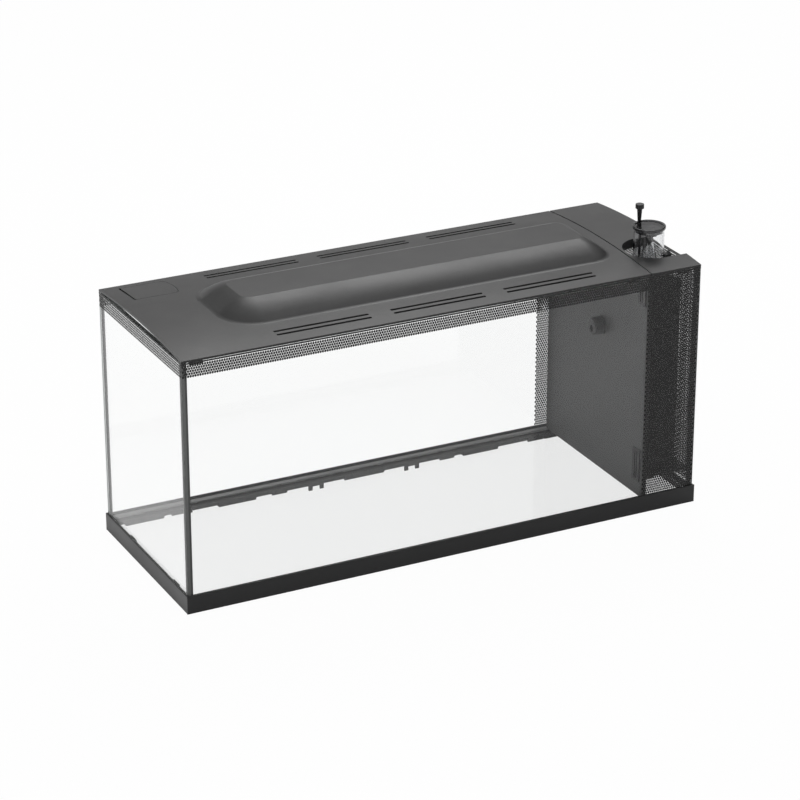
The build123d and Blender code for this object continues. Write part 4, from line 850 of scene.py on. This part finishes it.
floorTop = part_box("pane_floor")[1].z
pumpLow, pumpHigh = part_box("pump_housing")
motorFront = pumpLow.y + cupShape["motorBehindVolute"]
motorEnds = (motorFront + cupShape["footInset"], motorFront + cupShape["motorDepth"] - cupShape["footInset"])
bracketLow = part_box("skimmer_bracket")[0]
bodyLow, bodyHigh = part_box("skimmer_body")
clipLow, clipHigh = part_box("heater_clips")
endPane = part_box("pane_right")[0].x
cups = []
for x in (pumpLow.x + cupShape["footInset"], pumpHigh.x - cupShape["footInset"]):
    for y in motorEnds:
        cups.append(suctionCup((x, y, floorTop), (0, 0, 1), cupShape["footRadius"], cupShape["motorRise"]))
skimmerY = (bodyLow.y + bodyHigh.y) / 2
cups.append(suctionCup((endPane, skimmerY, bracketLow.z + cupShape["skimmerRise"]), (-1, 0, 0),
                       cupShape["wideRadius"], cupShape["skimmerLength"]))
for z in (clipLow.z + cupShape["clipHalf"], clipHigh.z - cupShape["clipHalf"]):
    cups.append(suctionCup((endPane, (clipLow.y + clipHigh.y) / 2, z), (-1, 0, 0), cupShape["wideRadius"],
                           cupShape["clipGap"]))
cupPiece = joinPieces("rubberCups", cups)
smoothPiece(cupPiece, 35)
finishPiece(cupPiece, "tank", "cup_rubber", materials["cup_rubber"], "suction_cups")


# Resistance wire wound round the heater's core
windingShape = {"wire": 0.00035, "pitch": 0.0034, "ends": 0.008, "steps": 24, "sides": 6}
coreLow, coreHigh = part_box("heater_core")
coreMiddle = (coreLow + coreHigh) / 2
turns = int((coreHigh.z - coreLow.z - 2 * windingShape["ends"]) / windingShape["pitch"])
deselectAll()
bpy.ops.mesh.primitive_circle_add(vertices=windingShape["sides"], radius=windingShape["wire"],
                                  location=((coreHigh.x - coreLow.x) / 2 + windingShape["wire"], 0, 0),
                                  rotation=(radians(90), 0, 0))
winding = settle(newPiece("heaterWinding"))
helix = winding.modifiers.new("helix", "SCREW")
helix.angle = radians(360)
helix.screw_offset = windingShape["pitch"]
helix.iterations = turns
helix.steps = windingShape["steps"]
helix.render_steps = windingShape["steps"]
applyModifiers(winding)
winding.location = (coreMiddle.x, coreMiddle.y, coreLow.z + windingShape["ends"])
settle(winding)
editEdges(winding, lambda a, b: False)
bpy.ops.mesh.select_non_manifold()
bpy.ops.mesh.edge_face_add()
bpy.ops.mesh.select_all(action="SELECT")
bpy.ops.mesh.normals_make_consistent(inside=False)
objectMode()
smoothPiece(winding, 60)
finishPiece(winding, "tank", "steel", materials["heaterWire"])
print("stone, cups and winding done")


# Pale floor, near white to rays that look straight or through glass, with little of the shadow left
studio = {"floorColour": (0.86, 0.86, 0.86), "floorSize": 30.0, "lift": 0.97, "sweep": 2.4,
          "cardLift": 0.95, "frontLift": 0.15, "cardEdge": (-0.415, -0.395),
          "ambient": 0.60, "skyLow": 0.05, "skyHigh": 1.0, "lowAngle": 0.25, "highAngle": 0.95}


def byRay(tree, direct, glossy, rest):   # seen straight or through glass, mirrored, or after a diffuse bounce
    rays = addNode(tree, "ShaderNodeLightPath")
    mirrored = math(tree, "MINIMUM", rays.outputs["Glossy Depth"], 1.0)
    scattered = math(tree, "MINIMUM", rays.outputs["Diffuse Depth"], 1.0)
    return mixValue(tree, scattered, mixValue(tree, mirrored, direct, glossy), rest)


deselectAll()
bpy.ops.mesh.primitive_plane_add(size=studio["floorSize"], location=(0, 0, 0))
floor = settle(newPiece("studioFloor"))
editEdges(floor, lambda a, b: a.y > 1 and b.y > 1)
bpy.ops.mesh.extrude_region_move(TRANSFORM_OT_translate={"value": (0, 0, studio["floorSize"] / 4)})
objectMode()
editEdges(floor, lambda a, b: a.y > 1 and b.y > 1 and a.z < 1 and b.z < 1)
bpy.ops.mesh.bevel(offset=studio["sweep"], segments=12)
objectMode()
floorMaterial, tree, shader, output = newMaterial("studioFloor")
cloud = noise(tree, objectPlace(tree), 0.4, 2.0)
paler = tuple(min(1.0, part + 0.02) for part in studio["floorColour"])
put(tree, shader.inputs["Base Color"], mixColour(tree, cloud, studio["floorColour"], paler))
shader.inputs["Roughness"].default_value = 0.9
shader.inputs["Specular IOR Level"].default_value = 0.1
glow = addNode(tree, "ShaderNodeEmission")
glow.inputs["Color"].default_value = (1, 1, 1, 1)
either = addNode(tree, "ShaderNodeMixShader")
across = addNode(tree, "ShaderNodeSeparateXYZ")
put(tree, across.inputs[0], objectPlace(tree))
card = spread(tree, across.outputs["X"], studio["cardLift"], studio["frontLift"], *studio["cardEdge"])
put(tree, either.inputs[0], byRay(tree, studio["lift"], card, 0.0))
tree.links.new(shader.outputs[0], either.inputs[1])
tree.links.new(glow.outputs[0], either.inputs[2])
tree.links.new(either.outputs[0], output.inputs[0])
floor.data.materials.append(floorMaterial)

world = bpy.data.worlds.new("studioWorld")
bpy.context.scene.world = world
world.use_nodes = True
tree = world.node_tree
background = tree.nodes["Background"]
background.inputs["Color"].default_value = (1, 1, 1, 1)
direction = addNode(tree, "ShaderNodeSeparateXYZ")
put(tree, direction.inputs[0], addNode(tree, "ShaderNodeTexCoord").outputs["Generated"])
sky = spread(tree, direction.outputs["Z"], studio["skyLow"], studio["skyHigh"], studio["lowAngle"],
             studio["highAngle"])
put(tree, background.inputs["Strength"], byRay(tree, 1.0, sky, studio["ambient"]))


# Lamps: a softbox behind and above on the right, and a wide weak one at the front left
lamps = {
    "softbox": {"place": (0.95, 1.35, 2.25), "aim": (0.0, 0.0, 0.3), "size": (1.5, 1.1), "power": 22.5},
    "fill": {"place": (-2.4, -1.8, 1.5), "aim": (0.0, 0.0, 0.2), "size": (1.6, 1.6), "power": 14.0},
}
for name, lamp in lamps.items():
    deselectAll()
    bpy.ops.object.light_add(type="AREA", location=lamp["place"])
    light = bpy.context.object
    light.name = name
    light.data.shape = "RECTANGLE"
    light.data.size, light.data.size_y = lamp["size"]
    light.data.energy = lamp["power"]
    light.rotation_euler = (Vector(lamp["aim"]) - Vector(lamp["place"])).to_track_quat("-Z", "Y").to_euler()

# Camera as in the photograph, fitted to the object's edges
view = {"place": (-1.7805, -3.5293, 1.8852), "tilt": 66.68, "turn": -26.708, "lens": 136.43, "sensor": 36.0}
deselectAll()
bpy.ops.object.camera_add(location=view["place"], rotation=(radians(view["tilt"]), 0, radians(view["turn"])))
camera = bpy.context.object
camera.name = "camera"
camera.data.lens = view["lens"]
camera.data.sensor_width = view["sensor"]
camera.data.clip_end = 100
bpy.context.scene.camera = camera
bpy.context.scene.view_settings.view_transform = "Standard"
print("studio done")

deselectAll()
